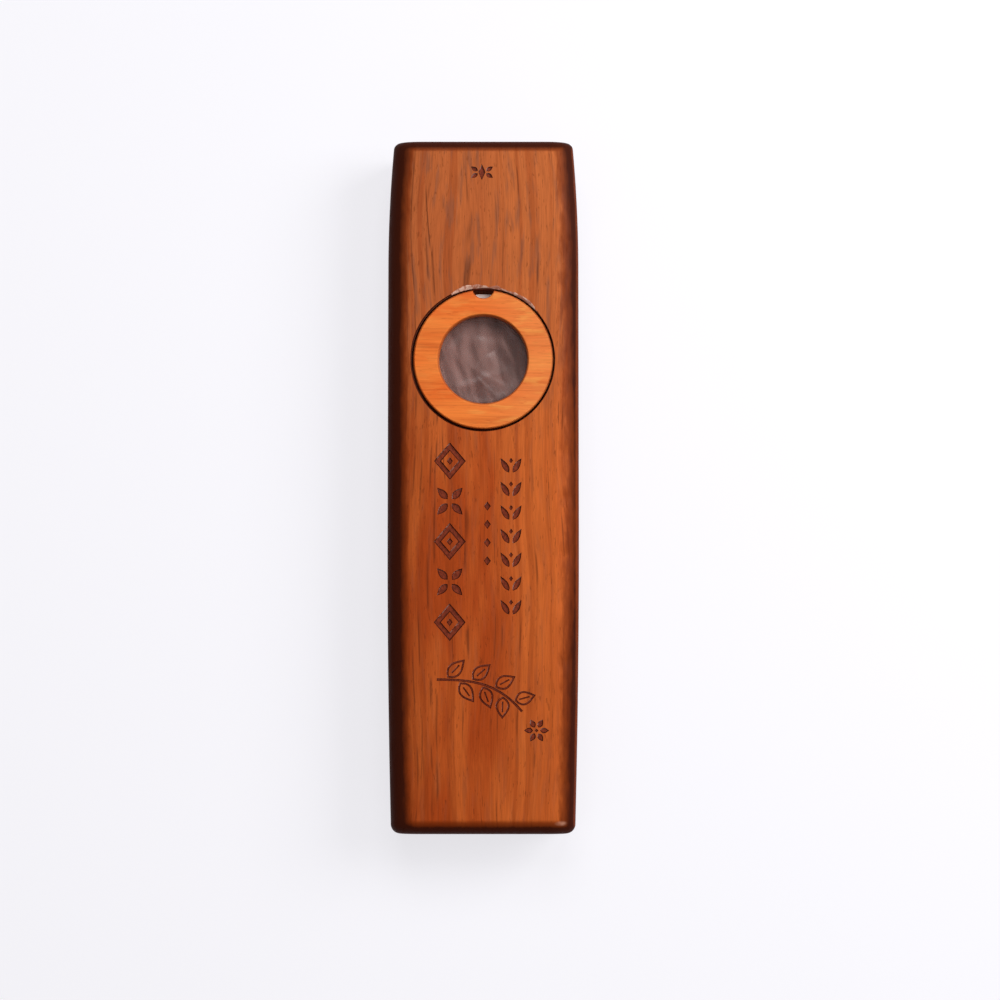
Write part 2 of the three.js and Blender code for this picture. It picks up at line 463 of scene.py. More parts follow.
    def _right_light(
        self, surface: WoodSurface, along: bpy.types.NodeSocket, right: bpy.types.NodeSocket
    ) -> bpy.types.Node:
        """Adds how much further out the painted shade starts on the right edge, as painted light
        there.

        Args:
            surface: The material in the making.
            along: The place along the body.
            right: How far the surface faces right, from -1 to 1.

        Returns:
            A node with a shift of the lean.
        """
        # painted light: the right edge's middle gets less painted shade
        near = surface.add("MapRange", [along, self.right_light_start, self.right_light_full], **SOFT)
        least = self.right_light_at_mouth * self.right_light_shift
        inputs = [along, self.left_shade_gone, 0.0, least, self.right_light_shift]
        most = surface.add("MapRange", inputs, **SOFT)
        share = surface.add("Math", [near, most], operation="MULTIPLY")
        side = surface.add("Math", [right, 0.0], operation="MAXIMUM")
        return surface.add("Math", [share, side], operation="MULTIPLY")


@dataclass(frozen=True)
class OiledHardwood:
    """A sanded and oiled hardwood, drawn through the solid so that end grain shows on the ends.

    Growth rings run round a pith line outside the piece. Pores are short dark dashes along the
    grain and dots on end grain, a fine fibre breaks up the colour, and the oiled finish gives a low
    satin shine. Where a piece has them, painted shade darkens the left and painted light makes the
    right paler, for how the lamps fall across it. A painted sheen makes the body paler and greyer
    towards the mouth end and the ring paler towards its right side.
    """

    name: str
    grain: Grain
    pale: str
    deep: str
    late_wood: str
    pore: str
    streak: str
    vein: str
    pith_mm: Place
    ring_spacing_mm: float
    ring_strength: float
    wander_mm: float = 0.9
    cloud_width_mm: float = 5.0
    cloud_length_mm: float = 34.0
    fibre_width_mm: float = 0.25
    fibre_length_mm: float = 5.0
    fibre_strength: float = 0.1
    pore_width_mm: float = 0.24  # real pores are about 0.15 mm, drawn coarser so that they show
    pore_length_mm: float = 1.7
    pore_strength: float = 0.34
    pore_group_width_mm: float = 1.4
    pore_group_length_mm: float = 12.0
    streak_width_mm: float = 0.9
    streak_length_mm: float = 9.0
    streak_strength: float = 0.55
    streak_least: float = 0.3  # the share of the streaks that is left away from the mouth end
    streak_start_mm: float = 0.0
    streak_full_mm: float = 40.0
    vein_width_mm: float = 0.16
    vein_spacing_mm: float = 3.0
    vein_strength: float = 0.6
    vein_gap_width_mm: float = 2.0
    vein_gap_length_mm: float = 11.0
    # painted shade at the left and painted light at the right, for how the lamps fall across the
    # piece
    painted_left_shade: Tint | None = Tint("#6c2a0e", 0.45, -7.5, -17.5)
    painted_right_light: Tint | None = Tint("#da7032", 0.5, 0.5, 9.0)
    # painted sheen: a paler, greyer tone towards the mouth end
    painted_sheen: Tint = Tint("#bd6838", 0.7, 0.0, 40.0)
    handling_and_shade: HandlingAndShade = HandlingAndShade()
    # the pale tone of the painted highlights
    highlight_tone: str = "#d69c80"
    long_veins: tuple[LongVein, ...] = ()
    painted_highlights: tuple[PaintedHighlight, ...] = ()
    roughness: float = 0.5
    dull_width_mm: float = 0.7  # the dull patches, where the oil lies thinner
    dull_length_mm: float = 6.0
    shine: float = 0.06
    relief_mm: float = 0.018

    def build(self) -> bpy.types.Material:
        """Makes the material.

        Returns:
            The material.
        """
        surface = WoodSurface(self.name, self.grain, self.wander_mm)
        pores = self._pores(surface)
        colour = self._colour(surface)
        inputs = {"Factor": pores, "A": colour, "B": linear(self.pore)}
        colour = surface.add("Mix", inputs, data_type="RGBA")
        # painted shade on the edges, the sides and the ends
        colour = self.handling_and_shade.over(surface, colour)
        # painted highlights: pale spots on the rounded edges
        for painted_highlight in self.painted_highlights:
            inputs = {"Factor": painted_highlight.highlight_share(surface), "A": colour, "B": linear(self.highlight_tone)}
            colour = surface.add("Mix", inputs, data_type="RGBA")
        return surface.finished(
            {
                "Base Color": colour,
                "Roughness": self._roughness(surface, pores),
                "IOR": 1.5,
                "Specular IOR Level": self.shine,
                "Normal": self._relief(surface, pores),
            }
        )

    def _colour(self, surface: WoodSurface) -> bpy.types.Node:
        """Adds the colour of the wood itself, from broad clouds down to fibre.

        Args:
            surface: The material in the making.

        Returns:
            The node that gives the colour.
        """
        bent = surface.bent_point
        cloud = surface.fibres(bent, self.cloud_width_mm, self.cloud_length_mm, 2.0)
        cloud = surface.add("MapRange", [cloud, 0.37, 0.61], **SOFT)
        inputs = {"Factor": cloud, "A": linear(self.pale), "B": linear(self.deep)}
        colour = surface.add("Mix", inputs, data_type="RGBA")
        layers = self._tints(surface)
        layers += [
            (self._late_wood(surface), self.late_wood),
            (self._streaks(surface), self.streak),
            (self._veins(surface), self.vein),
        ]
        layers += [(self._long_vein(surface, vein), self.vein) for vein in self.long_veins]
        for share, tone in layers:
            inputs = {"Factor": share, "A": colour, "B": linear(tone)}
            colour = surface.add("Mix", inputs, data_type="RGBA")
        fibre = surface.fibres(bent, self.fibre_width_mm, self.fibre_length_mm, 3.0)
        low, high = 1 - self.fibre_strength, 1 + self.fibre_strength
        lightness = surface.add("MapRange", [fibre, 0.3, 0.7, low, high], **SOFT)
        inputs = {"Factor": 1.0, "A": colour, "B": lightness}
        return surface.add("Mix", inputs, data_type="RGBA", blend_type="MULTIPLY")

    def _tints(self, surface: WoodSurface) -> list[tuple[bpy.types.Node, str]]:
        """Adds how far the painted left shade, right light and sheen come in.

        Args:
            surface: The material in the making.

        Returns:
            A share and a hex colour for each tint that the wood has.
        """
        axes = surface.add("SeparateXYZ", [surface.bent_point])
        tints = []
        for axis, tint in (("X", self.painted_left_shade), ("X", self.painted_right_light), ("Y", self.painted_sheen)):
            if tint is not None:
                inputs = [axes.outputs[axis], tint.start, tint.full, 0.0, tint.strength]
                tints.append((surface.add("MapRange", inputs, **SOFT), tint.colour))
        return tints

    def _late_wood(self, surface: WoodSurface) -> bpy.types.Node:
        """Adds how much a point lies in a growth ring's late wood.

        Args:
            surface: The material in the making.

        Returns:
            A node with a share from 0 to the rings' strength.
        """
        inputs = [surface.bent_point, self.pith_mm]
        from_pith = surface.add("VectorMath", inputs, operation="SUBTRACT")
        across = surface.add("VectorMath", [from_pith, (1.0, 0.0, 1.0)], operation="MULTIPLY")
        radius = surface.add("VectorMath", [across], operation="LENGTH")
        inputs = {"W": radius.outputs["Value"], "Scale": 1 / self.ring_spacing_mm, "Detail": 3.0}
        rings = surface.add("TexNoise", inputs, noise_dimensions="1D")
        return surface.add("MapRange", [rings, 0.5, 0.68, 0.0, self.ring_strength], **SOFT)

    def _streaks(self, surface: WoodSurface) -> bpy.types.Node:
        """Adds how much a point lies in a streak of other colour, which gathers towards one end.

        Args:
            surface: The material in the making.

        Returns:
            A node with a share from 0 to the streaks' strength.
        """
        width, length = self.streak_width_mm, self.streak_length_mm
        streaks = surface.fibres(surface.bent_point, width, length, 3.0, 11.0)
        there = surface.add("MapRange", [streaks, 0.5, 0.68, 0.0, self.streak_strength], **SOFT)
        axes = surface.add("SeparateXYZ", [surface.turned_point])
        start, full = self.streak_start_mm, self.streak_full_mm
        inputs = [axes.outputs["Y"], start, full, self.streak_least, 1.0]
        end = surface.add("MapRange", inputs, **SOFT)
        return surface.add("Math", [there, end], operation="MULTIPLY")

    def _veins(self, surface: WoodSurface) -> bpy.types.Node:
        """Adds how much a point lies on a thin dark vein: a line where a noise across is half.

        Args:
            surface: The material in the making.

        Returns:
            A node with a share from 0 to the veins' strength.
        """
        inputs = [surface.bent_point, (1.0, 0.0, 0.35)]
        across = surface.add("VectorMath", inputs, operation="DOT_PRODUCT")
        inputs = {"W": across.outputs["Value"], "Scale": 1 / self.vein_spacing_mm, "Detail": 0.0}
        slow = surface.add("TexNoise", inputs, noise_dimensions="1D")
        off = surface.add("Math", [slow, 0.5], operation="SUBTRACT")
        off = surface.add("Math", [off], operation="ABSOLUTE")
        line = surface.add("MapRange", [off, 0.5 * self.vein_width_mm / self.vein_spacing_mm, 0.0])
        width, length = self.vein_gap_width_mm, self.vein_gap_length_mm
        gaps = surface.fibres(surface.bent_point, width, length, 1.0, 19.0)
        shown = surface.add("MapRange", [gaps, 0.5, 0.62, 0.0, self.vein_strength], **SOFT)
        return surface.add("Math", [line, shown], operation="MULTIPLY")

    def _long_vein(self, surface: WoodSurface, vein: LongVein) -> bpy.types.Node:
        """Adds how much a point lies on one long vein, which thins out at both ends.

        Args:
            surface: The material in the making.
            vein: The long vein.

        Returns:
            A node with a share from 0 to the vein's strength.
        """
        run = Vector((vein.end[0] - vein.start[0], vein.end[1] - vein.start[1], 0.0))
        start = (*vein.start, 0.0)
        inputs = [surface.bent_point, (1.0, 1.0, 0.0)]
        flat = surface.add("VectorMath", inputs, operation="MULTIPLY")
        out = surface.add("VectorMath", [flat, start], operation="SUBTRACT")
        inputs = [out, tuple(run / run.length_squared)]
        share = surface.add("VectorMath", inputs, operation="DOT_PRODUCT").outputs["Value"]
        side = Vector((run.y, -run.x, 0.0)).normalized()
        off = surface.add("VectorMath", [out, tuple(side)], operation="DOT_PRODUCT")
        off = surface.add("Math", [off.outputs["Value"]], operation="ABSOLUTE")
        inputs = [off, 0.5 * vein.width, 0.1 * vein.width, 0.0, vein.strength]
        line = surface.add("MapRange", inputs, **SOFT)
        from_middle = surface.add("Math", [share, 0.5], operation="SUBTRACT")
        from_middle = surface.add("Math", [from_middle], operation="ABSOLUTE")
        length = surface.add("MapRange", [from_middle, 0.5, 0.25], **SOFT)
        return surface.add("Math", [line, length], operation="MULTIPLY")

    def _pores(self, surface: WoodSurface) -> bpy.types.Node:
        """Adds how much a point lies in an open pore.

        Args:
            surface: The material in the making.

        Returns:
            A node with a share from 0 to the pores' strength.
        """
        bent = surface.bent_point
        pores = surface.fibres(bent, self.pore_width_mm, self.pore_length_mm, 1.0, 23.0)
        width, length = self.pore_group_width_mm, self.pore_group_length_mm
        groups = surface.fibres(bent, width, length, 1.0, 31.0)
        limit = surface.add("MapRange", [groups, 0.3, 0.7, 0.7, 0.62], **SOFT)
        over = surface.add("Math", [pores, limit], operation="SUBTRACT")
        return surface.add("MapRange", [over, 0.0, 0.06, 0.0, self.pore_strength], **SOFT)

    def _roughness(self, surface: WoodSurface, pores: bpy.types.Node) -> bpy.types.Node:
        """Adds the roughness: the oiled finish lies thinner on some fibres, and pores are dull.

        Args:
            surface: The material in the making.
            pores: How much the point lies in a pore.

        Returns:
            The node that gives the roughness.
        """
        width, length = self.dull_width_mm, self.dull_length_mm
        patch = surface.fibres(surface.bent_point, width, length, 3.0, 41.0)
        inputs = [patch, 0.3, 0.7, self.roughness - 0.06, self.roughness + 0.07]
        base = surface.add("MapRange", inputs, **SOFT)
        return surface.add("Math", [pores, 0.5, base], operation="MULTIPLY_ADD")

    def _relief(self, surface: WoodSurface, pores: bpy.types.Node) -> bpy.types.Node:
        """Adds the relief: pores are fine grooves, and sanding leaves the fibre slightly raised.

        Args:
            surface: The material in the making.
            pores: How much the point lies in a pore.

        Returns:
            The bump node.
        """
        width, length = self.fibre_width_mm, self.fibre_length_mm
        fibre = surface.fibres(surface.bent_point, width, length, 2.0, 7.0)
        height = surface.add("Math", [pores, -2.0, fibre], operation="MULTIPLY_ADD")
        distance = self.relief_mm * MM
        return surface.add("Bump", {"Height": height, "Distance": distance, "Strength": 0.6})


@dataclass(frozen=True)
class RoutedWoodShaded:
    """Routed wood: dull, with fine cutter marks, darkened by the cutter's heat and by painted
    shade.
    """

    name: str = "padauk_routed_shaded"
    pale: str = "#8c451f"
    deep: str = "#5c2710"
    fibre_width_mm: float = 0.3
    fibre_length_mm: float = 6.0
    mark_spacing_mm: float = 0.8
    relief_mm: float = 0.04
    roughness: float = 0.75

    def build(self) -> bpy.types.Material:
        """Makes the material.

        Returns:
            The material.
        """
        surface = Surface(self.name)
        fibre = surface.fibres(
            surface.point, self.fibre_width_mm, self.fibre_length_mm, 4.0, 2.0
        )
        inputs = {
            "Factor": surface.add("MapRange", [fibre, 0.3, 0.7], **SOFT),
            "A": linear(self.deep),
            "B": linear(self.pale),
        }
        colour = surface.add("Mix", inputs, data_type="RGBA")
        inputs = {
            "Vector": surface.point,
            "Scale": 1 / self.mark_spacing_mm,
            "Distortion": 2.0,
            "Detail": 2.0,
        }
        marks = surface.add("TexWave", inputs, bands_direction="Y")
        inputs = [marks.outputs["Fac"], 0.4, fibre]
        height = surface.add("Math", inputs, operation="MULTIPLY_ADD")
        relief = {"Height": height, "Distance": self.relief_mm * MM, "Strength": 0.7}
        return surface.finished(
            {
                "Base Color": colour,
                "Roughness": self.roughness,
                "IOR": 1.5,
                "Normal": surface.add("Bump", relief),
            }
        )


@dataclass(frozen=True)
class TornEdgeHighlight:
    """Torn wood at the well's edge: slightly shiny, pale from torn fibres and a painted highlight.
    """

    name: str = "padauk_torn_edge_highlight"
    pale: str = "#dcae98"
    deep: str = "#a8644a"
    flake_mm: float = 0.6
    relief_mm: float = 0.05
    roughness: float = 0.45

    def build(self) -> bpy.types.Material:
        """Makes the material.

        Returns:
            The material.
        """
        surface = Surface(self.name)
        flakes = surface.fibres(surface.point, self.flake_mm, 2 * self.flake_mm, 3.0, 4.0)
        inputs = {
            "Factor": surface.add("MapRange", [flakes, 0.4, 0.58], **SOFT),
            "A": linear(self.deep),
            "B": linear(self.pale),
        }
        relief = {"Height": flakes, "Distance": self.relief_mm * MM, "Strength": 0.6}
        return surface.finished(
            {
                "Base Color": surface.add("Mix", inputs, data_type="RGBA"),
                "Roughness": self.roughness,
                "IOR": 1.5,
                "Normal": surface.add("Bump", relief),
            }
        )


@dataclass(frozen=True)
class BurntGroove:
    """A laser's groove: wood-coloured floor, charred walls, pale specks partly ashy, partly painted
    highlight.
    """

    name: str = "padauk_laser_burnt"
    char: str = "#3c1208"
    floor: str = "#86341a"
    soot: str = "#662410"
    ash_and_highlight: str = "#c09488"
    ash_and_highlight_strength: float = 0.6
    highlight_from: Place = (0.5, -0.85, 0.0)  # the walls that face this way get the pale specks, a painted highlight
    soot_width_mm: float = 0.35
    soot_length_mm: float = 0.6
    speck_mm: float = 0.6
    relief_mm: float = 0.05
    roughness: float = 0.6
    shine: float = 0.15

    def build(self) -> bpy.types.Material:
        """Makes the material.

        Returns:
            The material.
        """
        surface = Surface(self.name)
        normal = surface.place.outputs["Normal"]
        axes = surface.add("SeparateXYZ", [normal])
        patches = surface.fibres(
            surface.point, self.soot_width_mm, self.soot_length_mm, 3.0, 8.0
        )
        inputs = {
            "Factor": surface.add("MapRange", [patches, 0.35, 0.65], **SOFT),
            "A": linear(self.soot),
            "B": linear(self.floor),
        }
        floor = surface.add("Mix", inputs, data_type="RGBA")
        level = surface.add("MapRange", [axes.outputs["Z"], 0.55, 0.98], **SOFT)
        inputs = {"Factor": level, "A": linear(self.char), "B": floor}
        colour = surface.add("Mix", inputs, data_type="RGBA")
        # painted highlight: pale specks on the walls that face the lower right, partly ashy
        lit_walls = surface.add("VectorMath", [normal, self.highlight_from], operation="DOT_PRODUCT")
        inputs = [lit_walls.outputs["Value"], 0.15, 0.5, 0.0, self.ash_and_highlight_strength]
        lit_walls = surface.add("MapRange", inputs, **SOFT)
        specks = surface.fibres(surface.point, self.speck_mm, self.speck_mm, 2.0, 14.0)
        specks = surface.add("MapRange", [specks, 0.42, 0.56], **SOFT)
        ash_and_highlight = surface.add("Math", [lit_walls, specks], operation="MULTIPLY")
        inputs = {"Factor": ash_and_highlight, "A": colour, "B": linear(self.ash_and_highlight)}
        relief = {"Height": patches, "Distance": self.relief_mm * MM, "Strength": 0.8}
        return surface.finished(
            {
                "Base Color": surface.add("Mix", inputs, data_type="RGBA"),
                "Roughness": self.roughness,
                "IOR": 1.5,
                "Specular IOR Level": self.shine,
                "Normal": surface.add("Bump", relief),
            }
        )


@dataclass(frozen=True)
class StyreneSheet:
    """Die-cut white styrene sheet: smooth and satin, very slightly warm."""

    name: str = "styrene_white"
    white: str = "#f4f1ea"
    shade: str = "#e2ddd7"
    cloud_mm: float = 3.0
    grain_mm: float = 0.25
    relief_mm: float = 0.008
    roughness: float = 0.38

    def build(self) -> bpy.types.Material:
        """Makes the material.

        Returns:
            The material.
        """
        surface = Surface(self.name)
        cloud = surface.fibres(surface.point, self.cloud_mm, self.cloud_mm)
        inputs = {
            "Factor": surface.add("MapRange", [cloud, 0.35, 0.65], **SOFT),
            "A": linear(self.white),
            "B": linear(self.shade),
        }
        grainy = surface.fibres(surface.point, self.grain_mm, self.grain_mm)
        relief = {"Height": grainy, "Distance": self.relief_mm * MM, "Strength": 0.5}
        return surface.finished(
            {
                "Base Color": surface.add("Mix", inputs, data_type="RGBA"),
                "Roughness": self.roughness,
                "IOR": 1.59,
                "Normal": surface.add("Bump", relief),
            }
        )


@dataclass(frozen=True)
class AcrylicAdhesive:
    """A band of acrylic transfer adhesive: clear, glossy and faintly yellow."""

    name: str = "acrylic_adhesive"
    clear: str = "#d8cfc4"
    bubbly: str = "#c8bfb2"
    bubble_mm: float = 0.6
    alpha: float = 0.7
    roughness: float = 0.3

    def build(self) -> bpy.types.Material:
        """Makes the material.

        Returns:
            The material.
        """
        surface = Surface(self.name)
        bubbles = surface.fibres(surface.point, self.bubble_mm, self.bubble_mm)
        inputs = {
            "Factor": surface.add("MapRange", [bubbles, 0.4, 0.6], **SOFT),
            "A": linear(self.clear),
            "B": linear(self.bubbly),
        }
        return surface.finished(
            {
                "Base Color": surface.add("Mix", inputs, data_type="RGBA"),
                "Roughness": self.roughness,
                "IOR": 1.47,
                "Alpha": self.alpha,
            }
        )


@dataclass(frozen=True)
class PolyetheneFilm:
    """Thin polythene film: milky, warm grey, half see-through, softly shiny on its wrinkles."""

    name: str = "polythene_film"
    milky: str = "#a27a72"
    thin: str = "#76524b"
    wisp_width_mm: float = 2.4
    wisp_length_mm: float = 8.4
    wisps_turned_degrees: float = -18.0
    wrinkle_width_mm: float = 1.6
    wrinkle_length_mm: float = 3.52
    relief_mm: float = 0.06
    least_alpha: float = 0.42
    most_alpha: float = 0.54
    roughness: float = 0.32

    def build(self) -> bpy.types.Material:
        """Makes the material.

        Returns:
            The material.
        """
        surface = Surface(self.name)
        turn = (0.0, 0.0, math.radians(self.wisps_turned_degrees))
        along = surface.add("Mapping", {"Vector": surface.point, "Rotation": turn})
        wisps = surface.fibres(along, self.wisp_width_mm, self.wisp_length_mm, 1.5, 2.6)
        inputs = {
            "Factor": surface.add("MapRange", [wisps, 0.34, 0.66], **SOFT),
            "A": linear(self.thin),
            "B": linear(self.milky),
        }
        colour = surface.add("Mix", inputs, data_type="RGBA")
        inputs = [wisps, 0.34, 0.66, self.least_alpha, self.most_alpha]
        alpha = surface.add("MapRange", inputs, **SOFT)
        wrinkles = surface.fibres(
            surface.point, self.wrinkle_width_mm, self.wrinkle_length_mm, 1.0, 6.1
        )
        relief = {"Height": wrinkles, "Distance": self.relief_mm * MM, "Strength": 0.4}
        return surface.finished(
            {
                "Base Color": colour,
                "Roughness": self.roughness,
                "IOR": 1.51,
                "Alpha": alpha,
                "Normal": surface.add("Bump", relief),
            }
        )


@dataclass(frozen=True)
class PaleCard:
    """The studio's floor: matt off-white card that looks pale but bounces little light."""

    name: str = "pale_card"
    seen: str = "#8f8e92"
    bounced: str = "#5c5c5e"
    glow: str = "#dcdbdf"
    roughness: float = 0.9

    def build(self) -> bpy.types.Material:
        """Makes the material.

        Returns:
            The material.
        """
        surface = Surface(self.name)
        direct = direct_view(surface.material.node_tree)
        inputs = {"Factor": direct, "A": linear(self.bounced), "B": linear(self.seen)}
        return surface.finished(
            {
                "Base Color": surface.add("Mix", inputs, data_type="RGBA"),
                "Roughness": self.roughness,
                "Emission Color": linear(self.glow),
                "Emission Strength": direct,
            }
        )


PADAUK_UPPER = OiledHardwood(
    name="padauk_oiled_upper",
    grain=Grain.ALONG_BODY,
    pale="#c45d26",
    deep="#ab4517",
    late_wood="#933a12",
    pore="#4c1c08",
    streak="#84503a",
    vein="#4a2010",
    pith_mm=(-95.0, 0.0, -46.0),
    ring_spacing_mm=1.5,
    ring_strength=0.4,
    long_veins=(
        LongVein((-10.7, 57.5), (-9.0, 43.0), 0.34, 0.7),
        LongVein((-7.6, 11.0), (-6.4, -1.0), 0.34, 0.6),
        LongVein((-11.6, -42.0), (-12.0, -56.0), 0.3, 0.55),
    ),
    # a painted highlight on the right corner at the outlet end
    painted_highlights=(PaintedHighlight((14.5, -62.8, 15.6), (1.5, 0.6, 1.5), 0.6),),
)
PADAUK_LOWER = OiledHardwood(
    name="padauk_oiled_lower",
    grain=Grain.ALONG_BODY,
    pale="#be5924",
    deep="#a54116",
    late_wood="#8b3611",
    pore="#481a08",
    streak="#7e4c30",
    vein="#461e0f",
    pith_mm=(70.0, 0.0, -60.0),
    ring_spacing_mm=1.9,
    ring_strength=0.4,
)
CHERRY = OiledHardwood(
    name="cherry_oiled",
    grain=Grain.ACROSS_BODY,
    pale="#f48236",
    deep="#e86a26",
    late_wood="#c85418",
    pore="#a83f10",
    streak="#f6a450",
    vein="#a84414",
    pith_mm=(60.0, 0.0, -90.0),
    ring_spacing_mm=1.4,
    ring_strength=0.32,
    wander_mm=0.5,
    fibre_strength=0.07,
    pore_strength=0.3,
    pore_width_mm=0.2,
    pore_length_mm=2.2,
    streak_width_mm=1.2,
    streak_length_mm=5.0,
    streak_strength=0.5,
    streak_start_mm=-12.0,
    streak_full_mm=8.0,
    vein_strength=0.35,
    painted_left_shade=None,
    painted_right_light=None,
    # painted sheen towards the ring's right side
    painted_sheen=Tint("#f29c58", 0.4, -4.0, 12.0),
    # painted shade on the ring's edges, weaker than on the body
    handling_and_shade=HandlingAndShade(
        oil_and_shade="#c8581c",
        oil_and_shade_strength=0.3,
        dirt_and_shade="#7c3410",
        dirt_and_shade_strength=0.5,
        side_strength=0.3,
        end_paleness=0.25,
        left_shade_shift=0.0,
        right_light_shift=0.0,
    ),
    roughness=0.42,
    shine=0.12,
    relief_mm=0.016,
)


# Mesh code


def skin(rings: Sequence[Sequence[Place]], wrap: bool = False) -> bmesh.types.BMesh:
    """Joins rings of points into one closed surface.

    Args:
        rings: Rings with equal numbers of points, in millimetres.
        wrap: Joins the last ring to the first, instead of closing each of them with a face.

    Returns:
        The surface, in millimetres.
    """
    made = bmesh.new()
    rows = [[made.verts.new(point) for point in ring] for ring in rings]
    count = len(rings[0])
    pairs = list(zip(rows, rows[1:]))
    if wrap:
        pairs.append((rows[-1], rows[0]))
    for low, high in pairs:
        for at in range(count):
            to = (at + 1) % count
            made.faces.new((low[at], low[to], high[to], high[at]))
    if not wrap:
        made.faces.new(reversed(rows[0]))
        made.faces.new(rows[-1])
    bmesh.ops.recalc_face_normals(made, faces=made.faces)
    return made


def arc(centre: Point, radius: float, start: float, end: float, steps: int) -> list[Point]:
    """Points of an arc.

    Args:
        centre: The arc's centre.
        radius: Its radius.
        start: The first angle, in quarter turns.
        end: The last angle, in quarter turns.
        steps: How many steps it takes.

    Returns:
        One more point than steps.
    """
    angles = [(start + (end - start) * step / steps) * TURN / 4 for step in range(steps + 1)]
    return [(centre[0] + radius * math.cos(a), centre[1] + radius * math.sin(a)) for a in angles]


def drawn_in(distance: float, reach: float, depth: float | None = None) -> float:
    """How far a roundover draws a face in, at a distance in from its end.

    Args:
        distance: How far in from the end, along the face.
        reach: How far in along the face the roundover runs.
        depth: How far it draws the face in at the end itself. Left out, it is round.

    Returns:
        How far the face is drawn in here.
    """
    left = min(max(1 - distance / reach, 0.0), 1.0)
    return (reach if depth is None else depth) * (1 - math.sqrt(1 - left * left))


def smooth(share: float) -> float:
    """Eases a share, so that it starts and ends gently.

    Args:
        share: The share. It is held between 0 and 1.

    Returns:
        The eased share.
    """
    held = min(max(share, 0.0), 1.0)
    return held * held * (3 - 2 * held)


def bump(value: float, centre: float, reach: float) -> float:
    """Gives the height of a smooth hump that is 1 high at its centre.

    Args:
        value: Where the height is asked for.
        centre: Where the hump is highest.
        reach: How far from there it has sunk to about a third.

    Returns:
        The height.
    """
    return math.exp(-(((value - centre) / reach) ** 2))


def turned(
    profile: Callable[[float], Sequence[Point]], centre: Point, steps: int, capped: bool = False
) -> bmesh.types.BMesh:
    """Turns a profile about a vertical line.

    Args:
        profile: Gives the profile's points, as radius and height, at an angle in radians.
        centre: Where the vertical line stands.
        steps: Steps round the turn.
        capped: Closes the first and the last turn of points, instead of joining them.

    Returns:
        The closed surface, in millimetres.
    """
    angles = [TURN * step / steps for step in range(steps)]
    profiles = [profile(angle) for angle in angles]
    rings = [
        [
            (
                centre[0] + one[level][0] * math.cos(angle),
                centre[1] + one[level][0] * math.sin(angle),
                one[level][1],
            )
            for one, angle in zip(profiles, angles)
        ]
        for level in range(len(profiles[0]))
    ]
    return skin(rings, wrap=not capped)


def as_object(
    name: str, made: bmesh.types.BMesh, *materials: bpy.types.Material
) -> bpy.types.Object:
    """Turns a surface in millimetres into an object in metres.

    Args:
        name: The object's name.
        made: The surface, which is freed.
        *materials: Its materials, by slot.

    Returns:
        The new object.
    """
    bmesh.ops.scale(made, vec=(MM, MM, MM), verts=made.verts)
    mesh = bpy.data.meshes.new(name)
    made.to_mesh(mesh)
    made.free()
    for material in materials:
        mesh.materials.append(material)
    piece = bpy.data.objects.new(name, mesh)
    bpy.context.scene.collection.objects.link(piece)
    return piece


def cut(piece: bpy.types.Object, cutter: bpy.types.Object) -> None:
    """Cuts one closed mesh from another. The new faces keep the cutter's materials.

    Args:
        piece: What is cut.
        cutter: What is cut away, which is deleted.
    """
    modifier = piece.modifiers.new("cut", "BOOLEAN")
    modifier.operation = "DIFFERENCE"
    modifier.solver = "EXACT"
    modifier.material_mode = "TRANSFER"
    modifier.object = cutter
    graph = bpy.context.evaluated_depsgraph_get()
    made = bpy.data.meshes.new_from_object(piece.evaluated_get(graph))
    piece.modifiers.clear()
    cleaned = bmesh.new()
    cleaned.from_mesh(made)
    bmesh.ops.dissolve_degenerate(cleaned, dist=SMALLEST_EDGE_MM * MM, edges=cleaned.edges)
    cleaned.to_mesh(made)
    cleaned.free()
    old = piece.data
    piece.data = made
    bpy.data.meshes.remove(old)
    bpy.data.objects.remove(cutter, do_unlink=True)


def smooth_shade(piece: bpy.types.Object, crease_degrees: float = 32.0) -> None:
    """Shades a mesh smoothly but for its creases, with flat faces kept flat.

    Args:
        piece: The object.
        crease_degrees: Faces that meet at a sharper angle keep a crease.
    """
    piece.data.shade_smooth()
    piece.data.set_sharp_from_angle(angle=math.radians(crease_degrees))
    weighted = piece.modifiers.new("flat faces first", "WEIGHTED_NORMAL")
    weighted.keep_sharp = True


def dress(piece: bpy.types.Object, body: Body, node: str) -> None:
    """Puts a finished piece into the frame.

    Args:
        piece: The object.
        body: The body that it moves with.
        node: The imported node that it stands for.
    """
    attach(piece, body.value)
    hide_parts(node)
    faces = len(piece.data.polygons)
    log.info("%s: %d faces, rides on %s", piece.name, faces, body.value)


# The kazoo


